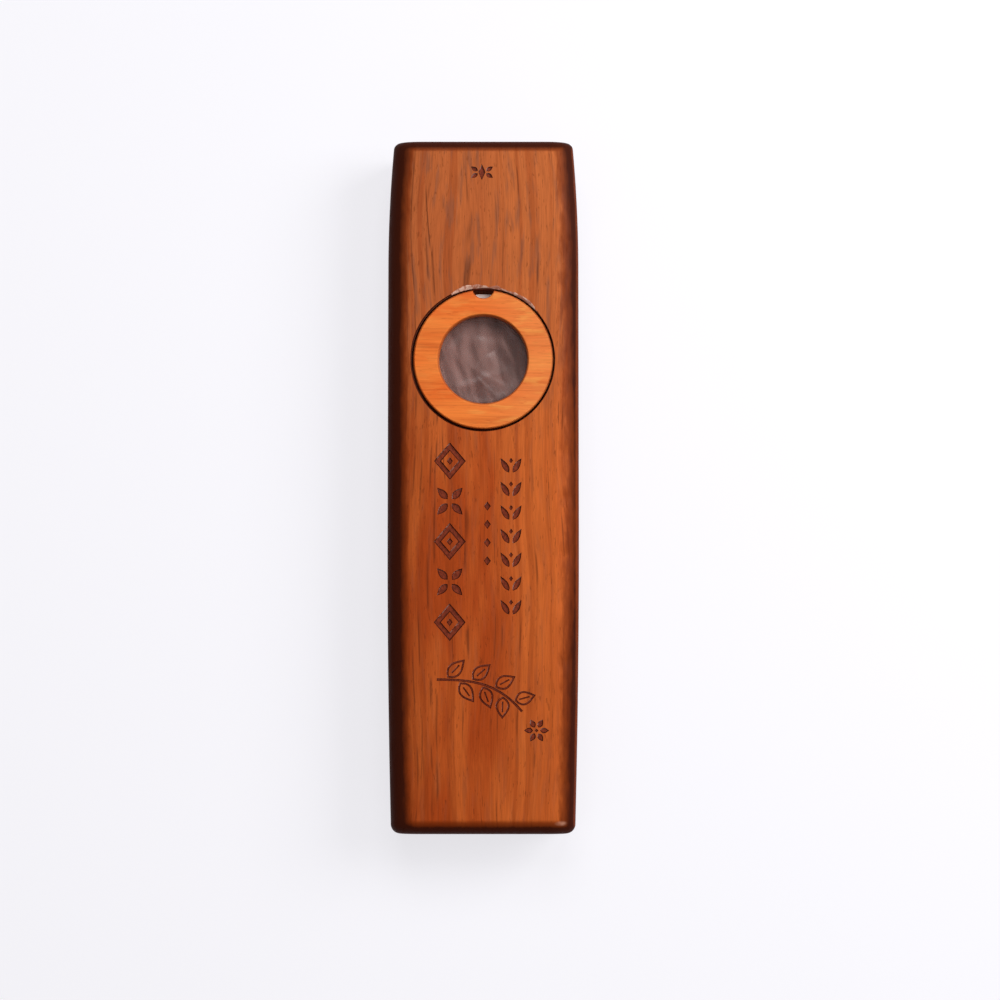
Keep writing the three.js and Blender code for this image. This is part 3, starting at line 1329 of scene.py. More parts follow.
@dataclass(frozen=True)
class Well:
    """The round well in the top face and what lies in it, read from the frame, in millimetres."""

    centre_y: float
    ring_radius: float
    ring_bottom: float
    ring_top: float
    plate_radius: float
    plate_bottom: float
    film_radius: float
    floor: float
    film_top: float
    side_clearance: float = 0.35
    port_radius: float = 8.0
    ring_opening_radius: float = 8.3
    plate_opening_radius: float = 8.5
    notch_radius: float = 2.1
    notch_outset: float = 0.46  # from the ring's outer edge out to the notch's centre
    film_dip: float = 0.3  # how far the film's middle sinks below its rim
    ring_off: Point = (0.02, 0.06)  # the ring and the membrane each sit a little off centre
    membrane_off: Point = (-0.04, 0.24)

    @classmethod
    def from_frame(cls) -> "Well":
        """Reads the stack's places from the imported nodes.

        Returns:
            The well.
        """
        ring_low, ring_high = (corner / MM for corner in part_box("retaining_ring"))
        plate_low, plate_high = (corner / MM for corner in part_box("membrane_ring"))
        film_low, film_high = (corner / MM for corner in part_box("membrane_film"))
        ring_radius = (ring_high.x - ring_low.x) / 2
        return cls(
            centre_y=ring_low.y + ring_radius,
            ring_radius=ring_radius,
            ring_bottom=ring_low.z,
            ring_top=ring_high.z,
            plate_radius=(plate_high.x - plate_low.x) / 2,
            plate_bottom=plate_low.z,
            film_radius=(film_high.x - film_low.x) / 2,
            floor=film_low.z + cls.film_dip,
            film_top=film_high.z,
        )

    @property
    def radius(self) -> float:
        """The radius of the well's wall."""
        return self.ring_radius + self.side_clearance

    @property
    def ring_centre(self) -> Point:
        """Where the ring sits in the well, seen from above."""
        return self.ring_off[0], self.centre_y + self.ring_off[1]

    @property
    def membrane_centre(self) -> Point:
        """Where the membrane sits in the well, seen from above."""
        return self.membrane_off[0], self.centre_y + self.membrane_off[1]


def groove_levels(inset: float, depth: float) -> list[Point]:
    """Gives the steps of a groove's wall, from just above the face down to its floor.

    Args:
        inset: How far in the wall leans on its way down, before a limit.
        depth: The groove's depth.

    Returns:
        How far in and how far up each step lies.
    """
    return [(-0.06, 0.08), (0.0, -0.03), (min(inset, MOST_LEAN_MM), -depth)]


@dataclass(frozen=True)
class Ribbon:
    """An engraved line of even width, in millimetres on the top face."""

    path: tuple[Point, ...]
    width: float
    closed: bool = False

    def surface(self, face: float, depth: float) -> bmesh.types.BMesh:
        """Makes the closed solid that cuts the line.

        Args:
            face: The height of the face that is cut.
            depth: The depth of the line.

        Returns:
            The solid, in millimetres.
        """
        half = self.width / 2
        section = [(half - inset, up) for inset, up in groove_levels(0.4 * half, depth)]
        section += [(-out, up) for out, up in reversed(section)]
        rings = []
        count = len(self.path)
        for at, (x, y) in enumerate(self.path):
            before = self.path[at - 1] if at or self.closed else None
            after = self.path[(at + 1) % count] if at < count - 1 or self.closed else None
            side = self._side(before, (x, y), after)
            rings.append([(x + side.x * out, y + side.y * out, face + up) for out, up in section])
        return skin(rings, wrap=self.closed)

    def _side(self, before: Point | None, here: Point, after: Point | None) -> Vector:
        """Gives the sideways step at a point, as long as a mitre needs.

        Args:
            before: The point before it, if there is one.
            here: The point.
            after: The point after it, if there is one.

        Returns:
            The step that moves the line's edge out by one millimetre.
        """
        steps = []
        if before is not None:
            steps.append((Vector(here) - Vector(before)).normalized())
        if after is not None:
            steps.append((Vector(after) - Vector(here)).normalized())
        along = sum(steps, Vector((0.0, 0.0))).normalized()
        side = Vector((-along.y, along.x))
        square = Vector((-steps[0].y, steps[0].x))
        return side / max(side.dot(square), 0.4)


@dataclass(frozen=True)
class Recess(ABC):
    """An engraved filled shape, in millimetres on the top face."""

    half_width: float

    @abstractmethod
    def outline(self, inset: float) -> list[Point]:
        """Gives the shape's outline.

        Args:
            inset: How far in from the shape's edge it lies.

        Returns:
            The outline's points.
        """

    def surface(self, face: float, depth: float) -> bmesh.types.BMesh:
        """Makes the closed solid that cuts the shape.

        Args:
            face: The height of the face that is cut.
            depth: The depth of the shape.

        Returns:
            The solid, in millimetres.
        """
        levels = groove_levels(0.3 * self.half_width, depth)
        return skin([[(x, y, face + up) for x, y in self.outline(inset)] for inset, up in levels])


@dataclass(frozen=True)
class Leaf(Recess):
    """A filled leaf from its base to its tip, in millimetres."""

    base: Point
    tip: Point
    steps: int = 8
    fullness: float = 0.8  # below 1, the leaf is widest nearer its base
    ends_inset: float = 2.4  # how much shorter it gets for each millimetre of inset

    def outline(self, inset: float) -> list[Point]:
        """Gives the leaf's outline, up one side and down the other.

        Args:
            inset: How far in from the leaf's edge it lies.

        Returns:
            The outline's points.
        """
        run = Vector(self.tip) - Vector(self.base)
        along = run.normalized()
        side = Vector((-along.y, along.x))
        start = Vector(self.base) + along * inset
        length = run.length - self.ends_inset * inset
        points = []
        for way in (1, -1):
            for step in range(self.steps):
                share = (step if way > 0 else self.steps - step) / self.steps
                out = math.sin(math.pi * share**self.fullness)
                out = way * (self.half_width - inset) * out
                at = start + along * length * share + side * out
                points.append((at.x, at.y))
        return points


@dataclass(frozen=True)
class Lozenge(Recess):
    """A filled lozenge, in millimetres."""

    half_length: float
    centre: Point

    def outline(self, inset: float) -> list[Point]:
        """Gives the lozenge's four corners.

        Args:
            inset: How far in from the lozenge's corners they lie.

        Returns:
            The corners.
        """
        x, y = self.centre
        across, along = self.half_width - inset, self.half_length - inset
        return [(x + across, y), (x, y + along), (x - across, y), (x, y - along)]


@dataclass
class Ornament:
    """Plain engraved ornament on the top face: lozenges, petals, leaf pairs, dots and a sprig."""

    face: float
    depth: float = 0.3
    fine_depth: float = 0.22
    line_width: float = 1.0
    fine_width: float = 0.42
    band_x: float = -6.2
    band_first_y: float = 4.4
    band_pitch: float = 7.5
    band_count: int = 5
    lozenge_half: Point = (2.3, 2.7)
    lozenge_heart_half: Point = (0.55, 0.7)
    petal_root: Point = (0.42, 0.42)
    petal_tip: Point = (2.35, 2.5)
    petal_half_width: float = 0.68
    leaf_x: float = 5.2
    leaf_first_y: float = 3.6
    leaf_pitch: float = 4.4
    leaf_count: int = 7
    leaf_root: Point = (0.35, -1.35)
    leaf_tip: Point = (1.95, 1.35)
    leaf_half_width: float = 0.55
    bud_half: Point = (0.36, 0.5)
    bud_up: float = 0.9
    dots_x: float = 0.8
    dots_first_y: float = -4.0
    dots_pitch: float = 3.4
    dots_count: int = 4
    dot_half: Point = (0.62, 0.85)
    mark_place: Point = (-0.25, 58.8)
    mark_half: Point = (0.65, 1.5)
    mark_leaf_root: Point = (0.8, 0.25)
    mark_leaf_tip: Point = (2.05, 1.05)
    mark_leaf_half_width: float = 0.4
    sprig_from: Point = (-8.6, -36.2)
    sprig_to: Point = (10.2, -46.0)
    sprig_bow: float = 3.4
    sprig_leaves: int = 7
    sprig_first: float = 0.08  # the first leaf's place, as a share of the way along the stem
    sprig_pitch: float = 0.1
    sprig_leaf_half_width: float = 1.15
    sprig_leaf_root: Point = (0.55, 0.2)  # out from the stem and along it
    sprig_leaf_tip: Point = (3.6, 3.0)
    sprig_leaf_less: float = 0.15  # how much less far along each next tip lies
    sprig_vein: Point = (1.1, 0.9)  # from the leaf's middle towards its root and its tip
    stem_steps: int = 24
    stem_points: int = 20  # the drawn stem stops short of the flower
    flower_share: float = 0.98
    flower_petals: int = 6
    flower_from: float = 0.65
    flower_to: float = 2.3
    flower_half_width: float = 0.5
    flower_heart_half: float = 0.34

    def cutter(self, burnt: bpy.types.Material) -> bpy.types.Object:
        """Makes one cutter for all of the ornament.

        Args:
            burnt: The finish of the grooves.

        Returns:
            The cutter.
        """
        bold = [*self._band(), *self._leaf_pairs(), *self._dots(), *self._mark()]
        joined = bmesh.new()
        for shapes, depth in ((bold, self.depth), (self._sprig(), self.fine_depth)):
            for shape in shapes:
                one = shape.surface(self.face, depth)
                scratch = bpy.data.meshes.new("scratch")
                one.to_mesh(scratch)
                one.free()
                joined.from_mesh(scratch)
                bpy.data.meshes.remove(scratch)
        return as_object("ornament_cutter", joined, burnt)

    def _band(self) -> list[Ribbon | Recess]:
        """Gives lozenges and four-petalled flowers by turns, down the left.

        Returns:
            The shapes.
        """
        across, along = self.lozenge_half
        shapes: list[Ribbon | Recess] = []
        for at in range(self.band_count):
            x, y = self.band_x, self.band_first_y - at * self.band_pitch
            if at % 2 == 0:
                path = ((x + across, y), (x, y + along), (x - across, y), (x, y - along))
                shapes.append(Ribbon(path, self.line_width, closed=True))
                shapes.append(Lozenge(*self.lozenge_heart_half, (x, y)))
            else:
                for right, up in ((1, 1), (-1, 1), (-1, -1), (1, -1)):
                    root = (x + self.petal_root[0] * right, y + self.petal_root[1] * up)
                    tip = (x + self.petal_tip[0] * right, y + self.petal_tip[1] * up)
                    shapes.append(Leaf(self.petal_half_width, root, tip))
        return shapes

    def _leaf_pairs(self) -> list[Recess]:
        """Gives pairs of leaves, each with a bud between them, down the right.

        Returns:
            The shapes.
        """
        shapes: list[Recess] = []
        for at in range(self.leaf_count):
            x, y = self.leaf_x, self.leaf_first_y - at * self.leaf_pitch
            for way in (1, -1):
                root = (x + self.leaf_root[0] * way, y + self.leaf_root[1])
                tip = (x + self.leaf_tip[0] * way, y + self.leaf_tip[1])
                shapes.append(Leaf(self.leaf_half_width, root, tip))
            shapes.append(Lozenge(*self.bud_half, (x, y + self.bud_up)))
        return shapes

    def _dots(self) -> list[Recess]:
        """Gives a short row of small lozenges between the band and the leaves.

        Returns:
            The shapes.
        """
        return [
            Lozenge(*self.dot_half, (self.dots_x, self.dots_first_y - at * self.dots_pitch))
            for at in range(self.dots_count)
        ]

    def _mark(self) -> list[Recess]:
        """Gives a small lozenge between two pairs of leaves, at the mouth end.

        Returns:
            The shapes.
        """
        x, y = self.mark_place
        shapes: list[Recess] = [Lozenge(*self.mark_half, (x, y))]
        for side in (-1, 1):
            for up in (1, -1):
                root = (x + side * self.mark_leaf_root[0], y + up * self.mark_leaf_root[1])
                tip = (x + side * self.mark_leaf_tip[0], y + up * self.mark_leaf_tip[1])
                shapes.append(Leaf(self.mark_leaf_half_width, root, tip))
        return shapes

    def _stem(self, share: float) -> Vector:
        """Gives a place on the sprig's bowed stem.

        Args:
            share: How far along the stem it lies, from 0 to 1.

        Returns:
            The place.
        """
        start, end = Vector(self.sprig_from), Vector(self.sprig_to)
        run = end - start
        side = Vector((-run.y, run.x)).normalized()
        return start + run * share + side * self.sprig_bow * math.sin(math.pi * share)

    def _sprig(self) -> list[Ribbon | Recess]:
        """Gives a bowed stem with leaves in outline, and a small flower beyond its end.

        Returns:
            The shapes.
        """
        steps = range(self.stem_points)
        stem = tuple(tuple(self._stem(step / self.stem_steps)) for step in steps)
        shapes: list[Ribbon | Recess] = [Ribbon(stem, self.fine_width)]
        for number in range(self.sprig_leaves):
            shapes += self._sprig_leaf(number)
        middle = self._stem(self.flower_share)
        for petal in range(self.flower_petals):
            angle = TURN * petal / self.flower_petals
            out = Vector((math.cos(angle), math.sin(angle)))
            root, tip = middle + out * self.flower_from, middle + out * self.flower_to
            shapes.append(Leaf(self.flower_half_width, tuple(root), tuple(tip)))
        shapes.append(Lozenge(self.flower_heart_half, self.flower_heart_half, tuple(middle)))
        return shapes

    def _sprig_leaf(self, number: int) -> list[Ribbon]:
        """Gives one of the sprig's leaves. They stand on either side of the stem by turns.

        Args:
            number: The leaf's number, from 0 at the stem's foot.

        Returns:
            The leaf's outline and its vein.
        """
        share = self.sprig_first + self.sprig_pitch * number
        way = 1 if number % 2 == 0 else -1
        foot = self._stem(share)
        along = (self._stem(share + 0.02) - foot).normalized()
        out = Vector((-along.y, along.x)) * way
        root_out, root_on = self.sprig_leaf_root
        tip_out, tip_on = self.sprig_leaf_tip
        root = foot + out * root_out + along * root_on
        tip = foot + out * tip_out + along * (tip_on - self.sprig_leaf_less * number)
        outline = Leaf(self.sprig_leaf_half_width, tuple(root), tuple(tip)).outline(0.0)
        middle, run = (root + tip) / 2, (tip - root).normalized()
        to_root, to_tip = self.sprig_vein
        vein = (tuple(middle - run * to_root), tuple(middle + run * to_tip))
        return [
            Ribbon(tuple(outline), 0.8 * self.fine_width, closed=True),
            Ribbon(vein, 0.6 * self.fine_width),
        ]


@dataclass
class WoodenBody:
    """The two glued halves of the body, with their channel, well and edges, in millimetres."""

    well: Well
    width: float
    length: float
    thickness: float
    long_edge_depth: float = 3.2
    long_edge_reach: float = 4.8
    mouth_end_depth: float = 1.8
    mouth_end_reach: float = 2.4
    mouth_corner_radius: float = 1.2
    outlet_end_depth: float = 2.3
    outlet_end_reach: float = 3.1
    outlet_corner_radius: float = 1.7
    mouth_taper: float = 1.1
    mouth_taper_length: float = 24.0
    outlet_taper: float = 0.8
    outlet_taper_length: float = 58.0
    seam_break: float = 0.07
    slot_width: float = 18.0
    slot_height: float = 6.0
    slot_lip: float = 1.0
    slot_length: float = 22.0
    chamber_width: float = 20.0
    chamber_height: float = 6.2
    chamber_margin: float = 3.0
    outlet_diameter: float = 9.0
    outlet_lip: float = 1.2
    outlet_bore_length: float = 18.0
    corner_steps: int = 14
    end_steps: int = 12
    lip_steps: int = 8
    slot_steps: int = 20
    blend_steps: int = 28
    station_spacing: float = 0.8
    turn_steps: int = 180
    sanding_depth: float = 0.07
    sanding_wave: float = 11.0
    scratch_depth: float = 0.02
    scratch_wave: float = 2.3
    port_edge_break: float = 0.12
    well_edge_break: float = 0.14
    torn_reach: float = 0.62
    torn_half_angle: float = 0.74
    torn_turned: float = -0.2
    overshoot: float = 1.0
    dents: tuple[tuple[float, float, float], ...] = (  # place along the body, reach and depth
        (46.0, 1.6, 0.13),
        (38.5, 1.1, 0.18),
        (33.0, 1.9, 0.12),
        (6.0, 1.3, 0.16),
        (-2.6, 1.0, 0.18),
        (-13.4, 1.6, 0.16),
        (-33.0, 1.2, 0.14),
        (-55.5, 1.5, 0.12),
    )

    @classmethod
    def from_frame(cls, well: Well) -> "WoodenBody":
        """Takes the body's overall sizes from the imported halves.

        Args:
            well: The well in its top face.

        Returns:
            The body.
        """
        low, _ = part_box("body_lower_half")
        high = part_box("body_upper_half")[1]
        size = (high - low) / MM
        return cls(well=well, width=size.x, length=size.y, thickness=size.z)

    @property
    def seam(self) -> float:
        """The height of the glue line."""
        return self.thickness / 2

    def build(self) -> None:
        """Makes and dresses both halves."""
        # the routed finish is darkened partly as painted shade for the well's gap and the channel
        routed = RoutedWoodShaded().build()
        oiled = PADAUK_UPPER.build()
        upper = as_object("kazoo_upper_half", self._half(1), oiled)
        cut(upper, self._channel(routed))
        # the torn edge's pale finish is partly a painted highlight
        cut(upper, self._well_cutter(routed, TornEdgeHighlight().build(), oiled))
        cut(upper, Ornament(self.thickness).cutter(BurntGroove().build()))
        lower = as_object("kazoo_lower_half", self._half(-1), PADAUK_LOWER.build())
        cut(lower, self._channel(routed))
        for piece, node in ((upper, "body_upper_half"), (lower, "body_lower_half")):
            smooth_shade(piece)
            dress(piece, Body.WOOD, node)

    def _half_width(self, y: float) -> float:
        """Gives half the body's width at a place along it.

        Args:
            y: The place along the body.

        Returns:
            Half the width.
        """
        end = self.length / 2
        to_mouth = max((y - (end - self.mouth_taper_length)) / self.mouth_taper_length, 0.0)
        to_outlet = max((self.outlet_taper_length - end - y) / self.outlet_taper_length, 0.0)
        return self.width / 2 - self.mouth_taper * to_mouth**2 - self.outlet_taper * to_outlet**2

    def _stations(self) -> list[float]:
        """Gives places along the body: close together at the rounded ends, even between them.

        Returns:
            The places, from the outlet end to the mouth end.
        """
        end = self.length / 2
        places = set()
        for step in range(self.end_steps + 1):
            share = 1 - math.cos(step / self.end_steps * TURN / 4)
            places.add(round(self.outlet_end_reach * share - end, 4))
            places.add(round(self.outlet_corner_radius * share - end, 4))
            places.add(round(end - self.mouth_end_reach * share, 4))
            places.add(round(end - self.mouth_corner_radius * share, 4))
        first, last = self.outlet_end_reach - end, end - self.mouth_end_reach
        count = round((last - first) / self.station_spacing)
        places.update(round(first + (last - first) * step / count, 4) for step in range(count))
        return sorted(places)

    def _sanded(self, y: float, side: float, way: int) -> float:
        """Gives how far hand sanding and small dents draw a long edge in at a place.

        Args:
            y: The place along the body.
            side: 1 for the right edge and -1 for the left.
            way: 1 for the upper half and -1 for the lower.

        Returns:
            How far the edge is drawn in.
        """
        wave = noise.noise(Vector((y / self.sanding_wave, side * 3.1, way * 5.3)))
        fine = noise.noise(Vector((y / self.scratch_wave, side * 7.7, way * 2.9)))
        drawn = self.sanding_depth * (0.5 + 0.5 * wave)
        drawn += self.scratch_depth * (0.5 + 0.5 * fine)
        if side > 0 and way > 0:
            drawn += sum(depth * bump(y, place, reach) for place, reach, depth in self.dents)
        return drawn

    def _half(self, way: int) -> bmesh.types.BMesh:
        """Makes one half before it is cut.

        Args:
            way: 1 for the upper half and -1 for the lower.

        Returns:
            The closed surface, with its flat face and its glued face each in one piece.
        """
        made = skin([self._half_outline(y, way) for y in self._stations()])
        for distance in (self.seam, 0.0):
            flat = [
                face
                for face in made.faces
                if all(
                    abs(abs(vert.co.z - self.seam) - distance) < FLAT_WITHIN_MM
                    for vert in face.verts
                )
            ]
            bmesh.ops.dissolve_faces(made, faces=flat, use_verts=False)
        return made

    def _half_outline(self, y: float, way: int) -> list[Place]:
        """Gives one half's section at a place along the body.

        Args:
            y: The place along the body.
            way: 1 for the upper half and -1 for the lower.

        Returns:
            The section's points, from the right side's seam to the left side's.
        """
        to_mouth, to_outlet = self.length / 2 - y, self.length / 2 + y
        reach = self.long_edge_reach - drawn_in(to_mouth, self.mouth_corner_radius)
        reach -= drawn_in(to_outlet, self.outlet_corner_radius)
        depth = self.long_edge_depth - drawn_in(
            to_mouth, self.mouth_end_reach, self.mouth_end_depth
        )
        depth -= drawn_in(to_outlet, self.outlet_end_reach, self.outlet_end_depth)
        centre = (self._half_width(y) - self.long_edge_reach, self.thickness - self.long_edge_depth)
        side, edge = centre[0] + reach, self.seam_break
        quarter = arc((0.0, 0.0), 1.0, 0, 1, self.corner_steps)
        right = [self._worn((reach * x, depth * z), y, 1, way) for x, z in quarter]
        left = [self._worn((reach * x, depth * z), y, -1, way) for x, z in reversed(quarter)]
        outline = [
            (side - edge, self.seam),
            (side, self.seam + edge),
            *[(centre[0] + x, centre[1] + z) for x, z in right],
            *[(-centre[0] - x, centre[1] + z) for x, z in left],
            (-side, self.seam + edge),
            (-side + edge, self.seam),
        ]
        return [(x, y, self.seam + way * (z - self.seam)) for x, z in outline]

    def _worn(self, out: Point, y: float, side: int, way: int) -> Point:
        """Draws a point of a rounded edge in where the edge is worn.

        Args:
            out: The point's reach and height from the middle of the rounding.
            y: The place along the body.
            side: 1 for the right edge and -1 for the left.
            way: 1 for the upper half and -1 for the lower.

        Returns:
            The drawn-in reach and height.
        """
        length = math.hypot(*out)
        most = abs(2 * out[0] * out[1]) / length**2
        kept = 1 - self._sanded(y, side, way) * most / length
        return out[0] * kept, out[1] * kept

    def _opening(self, y: float, size: Point, flare: float = 0.0) -> list[Place]:
        """Gives the channel's section at a place: a slot with round ends, on the glue line.

        Args:
            y: The place along the body.
            size: The slot's width and height.
            flare: How far it widens all round.

        Returns:
            The section's points.
        """
        radius = (size[1] + 2 * flare) / 2
        reach = max((size[0] + 2 * flare) / 2 - radius, 0.0)
        outline = [
            *arc((reach, self.seam), radius, -1, 1, self.slot_steps),
            *arc((-reach, self.seam), radius, 1, 3, self.slot_steps),
        ]
        return [(x, y, z) for x, z in outline]

    def _lip(self, face: float, size: Point, lip: float) -> list[list[Place]]:
        """Gives the sections of a rounded lip where the channel opens in an end.

        Args:
            face: The end's place along the body.
            size: The opening's width and height inside the lip.
            lip: How far the lip rounds.

        Returns:
            The sections, from outside the body inwards.
        """
        inward = -1 if face > 0 else 1
        depths = [
            lip * (1 - math.cos(step / self.lip_steps * TURN / 4))
            for step in range(self.lip_steps)
        ]
        return [
            self._opening(face - inward * self.overshoot, size, lip),
            *[self._opening(face + inward * depth, size, drawn_in(depth, lip)) for depth in depths],
            self._opening(face + inward * lip, size),
        ]

    def _blend(self, start: float, end: float, first: Point, second: Point) -> list[list[Place]]:
        """Gives the sections that lead the channel gently from one size to another.

        Args:
            start: Where it starts, along the body.
            end: Where it ends.
            first: The width and height at the start.
            second: The width and height at the end.

        Returns:
            The sections.
        """
        rings = []
        for step in range(self.blend_steps + 1):
            share = smooth(step / self.blend_steps)
            width = first[0] + (second[0] - first[0]) * share
            height = first[1] + (second[1] - first[1]) * share
            y = start + (end - start) * step / self.blend_steps
            rings.append(self._opening(y, (width, height)))
        return rings

    def _channel(self, routed: bpy.types.Material) -> bpy.types.Object:
        """Makes the cutter for the whole sound channel, from the outlet to the mouth slot.

        Args:
            routed: The finish of the channel's walls.

        Returns:
            The cutter.
        """
        end = self.length / 2
        chamber_from = self.well.centre_y - self.well.port_radius - self.chamber_margin
        chamber_to = self.well.centre_y + self.well.port_radius + self.chamber_margin
        # a hair taller than wide, so that the slot's outline becomes round
        outlet = (self.outlet_diameter, self.outlet_diameter + 0.001)
        chamber = (self.chamber_width, self.chamber_height)
        slot = (self.slot_width, self.slot_height)
        rings = [
            *self._lip(-end, outlet, self.outlet_lip),
            *self._blend(self.outlet_bore_length - end, chamber_from, outlet, chamber),
            *self._blend(chamber_to, end - self.slot_length, chamber, slot),
            *reversed(self._lip(end, slot, self.slot_lip)),
        ]
        return as_object("channel_cutter", skin(rings), routed)

    def _torn(self, angle: float) -> float:
        """Gives how wide the well's edge is broken: most at the mouth end, and more at the left.

        Args:
            angle: The direction from the well's centre, in radians from +X.

        Returns:
            The width of the broken edge.
        """
        flakes = 0.66 + 0.7 * noise.noise(Vector((angle * 9, 1.7, 0.0)))
        flakes += 0.4 * noise.noise(Vector((angle * 23, 4.1, 0.0)))
        rubbed = self.well_edge_break * (1 - 0.8 * math.cos(angle))
        return rubbed + self.torn_reach * self._chipped(angle) * max(flakes, 0.1)

    def _chipped(self, angle: float) -> float:
        """Gives how much the well's edge is chipped at an angle: 1 over an arc at the mouth end.

        Args:
            angle: The direction from the well's centre, in radians from +X.

        Returns:
            A share from 0 to 1.
        """
        from_middle = math.remainder(angle - TURN / 4 - self.torn_turned, TURN)
        return smooth((self.torn_half_angle - abs(from_middle)) / 0.3)

    def _well_profile(self, angle: float) -> list[Point]:
        """Gives the profile of the port and the stepped well in one direction.

        Args:
            angle: The direction from the well's centre, in radians from +X.

        Returns:
            The profile's points, as radius and height, from the channel up.
        """
        well, top = self.well, self.thickness
        edge = self._torn(angle)
        drop = 0.55 * edge + 0.04
        return [
            (well.port_radius, self.seam),
            (well.port_radius, well.floor - self.port_edge_break),
            (well.port_radius + self.port_edge_break, well.floor),
            (well.radius, well.floor),
            (well.radius, top - drop),
            (well.radius + 0.45 * edge, top - 0.4 * drop),
            (well.radius + edge, top + 0.02),
            (well.radius + edge, top + self.overshoot),
        ]

    def _well_cutter(
        self, routed: bpy.types.Material, torn: bpy.types.Material, oiled: bpy.types.Material
    ) -> bpy.types.Object:
        """Makes the cutter for the port and the stepped well, rubbed and torn at its top edge.

        Args:
            routed: The finish of the walls and the floors, darkened partly as painted shade.
            torn: The finish where the edge is torn, pale partly as a painted highlight.
            oiled: The finish where the edge is rubbed round.

        Returns:
            The cutter.
        """
        centre_y, top = self.well.centre_y, self.thickness
        made = turned(self._well_profile, (0.0, centre_y), self.turn_steps, capped=True)
        for face in made.faces:
            middle = face.calc_center_median()
            angle = math.atan2(middle.y - centre_y, middle.x)
            if top - 0.6 < middle.z < top + 0.1:
                face.material_index = 1 if self._chipped(angle) > 0.25 else 2
        return as_object("well_cutter", made, routed, torn, oiled)


@dataclass
class RetainingRing:
    """The notched cherry ring that clamps the membrane, in millimetres."""

    well: Well
    edge_radius: float = 0.35
    foot_radius: float = 0.12
    turn_steps: int = 220
    notch_steps: int = 72
    notch_lip: float = 0.18
    notch_margin: float = 2.2  # from the outer edge to a line of the mesh just past the notch
    overshoot: float = 1.0

    def build(self) -> None:
        """Makes and dresses the ring."""
        well = self.well
        centre = well.ring_centre
        wood = CHERRY.build()
        ring = as_object("cherry_ring", turned(self._profile, centre, self.turn_steps), wood)
        cut(ring, self._notch(centre, wood))
        smooth_shade(ring)
        dress(ring, Body.RING, "retaining_ring")

    def _profile(self, angle: float) -> list[Point]:
        """Gives the ring's section at an angle, with slight waves from hand sanding.

        Args:
            angle: The direction from the ring's centre, in radians from +X.

        Returns:
            The section's points, as radius and height.
        """
        well = self.well
        wave = 0.02 * noise.noise(Vector((math.cos(angle) * 2, math.sin(angle) * 2, 3.0)))
        inner, outer = well.ring_opening_radius + wave, well.ring_radius - abs(wave)
        low, high = well.ring_bottom, well.ring_top
        foot, edge = self.foot_radius, self.edge_radius
        return [
            *arc((outer - foot, low + foot), foot, -1, 0, 3),
            *arc((outer - edge, high - edge), edge, 0, 1, 7),
            (outer - self.notch_margin, high),
            (inner + 2 * edge, high),
            *arc((inner + edge, high - edge), edge, 1, 2, 7),
            *arc((inner + foot, low + foot), foot, 2, 3, 3),
        ]

    def _notch(self, centre: Point, wood: bpy.types.Material) -> bpy.types.Object:
        """Makes the cutter for the thumbnail notch.

        Args:
            centre: The ring's centre.
            wood: The finish of the notch's wall.

        Returns:
            The cutter.
        """
        place = (centre[0], centre[1] + self.well.ring_radius + self.well.notch_outset)
        made = turned(self._notch_profile, place, self.notch_steps, capped=True)
        return as_object("notch_cutter", made, wood)

    def _notch_profile(self, _: float) -> list[Point]:
        """Gives the notch's profile, which eases out to a small lip at its upper edge.

        Returns:
            The profile's points, as radius and height, from below the ring to above it.
        """
        radius, lip, top = self.well.notch_radius, self.notch_lip, self.well.ring_top
        eased = [
            (radius + drawn_in(lip * step / 4, lip), top - lip * step / 4) for step in (3, 2, 1)
        ]
        return [
            (radius, self.well.ring_bottom - self.overshoot),
            (radius, top - lip),
            *eased,
            (radius + lip, top + 0.01),
            (radius + lip, top + self.overshoot),
        ]


@dataclass(frozen=True)
class Crease:
    """One crease of the film: a line at an angle and offset, with its width and height."""

    angle_degrees: float
    offset: float
    width: float
    height: float
    centre: float = 0.0
    reach: float = 5.0


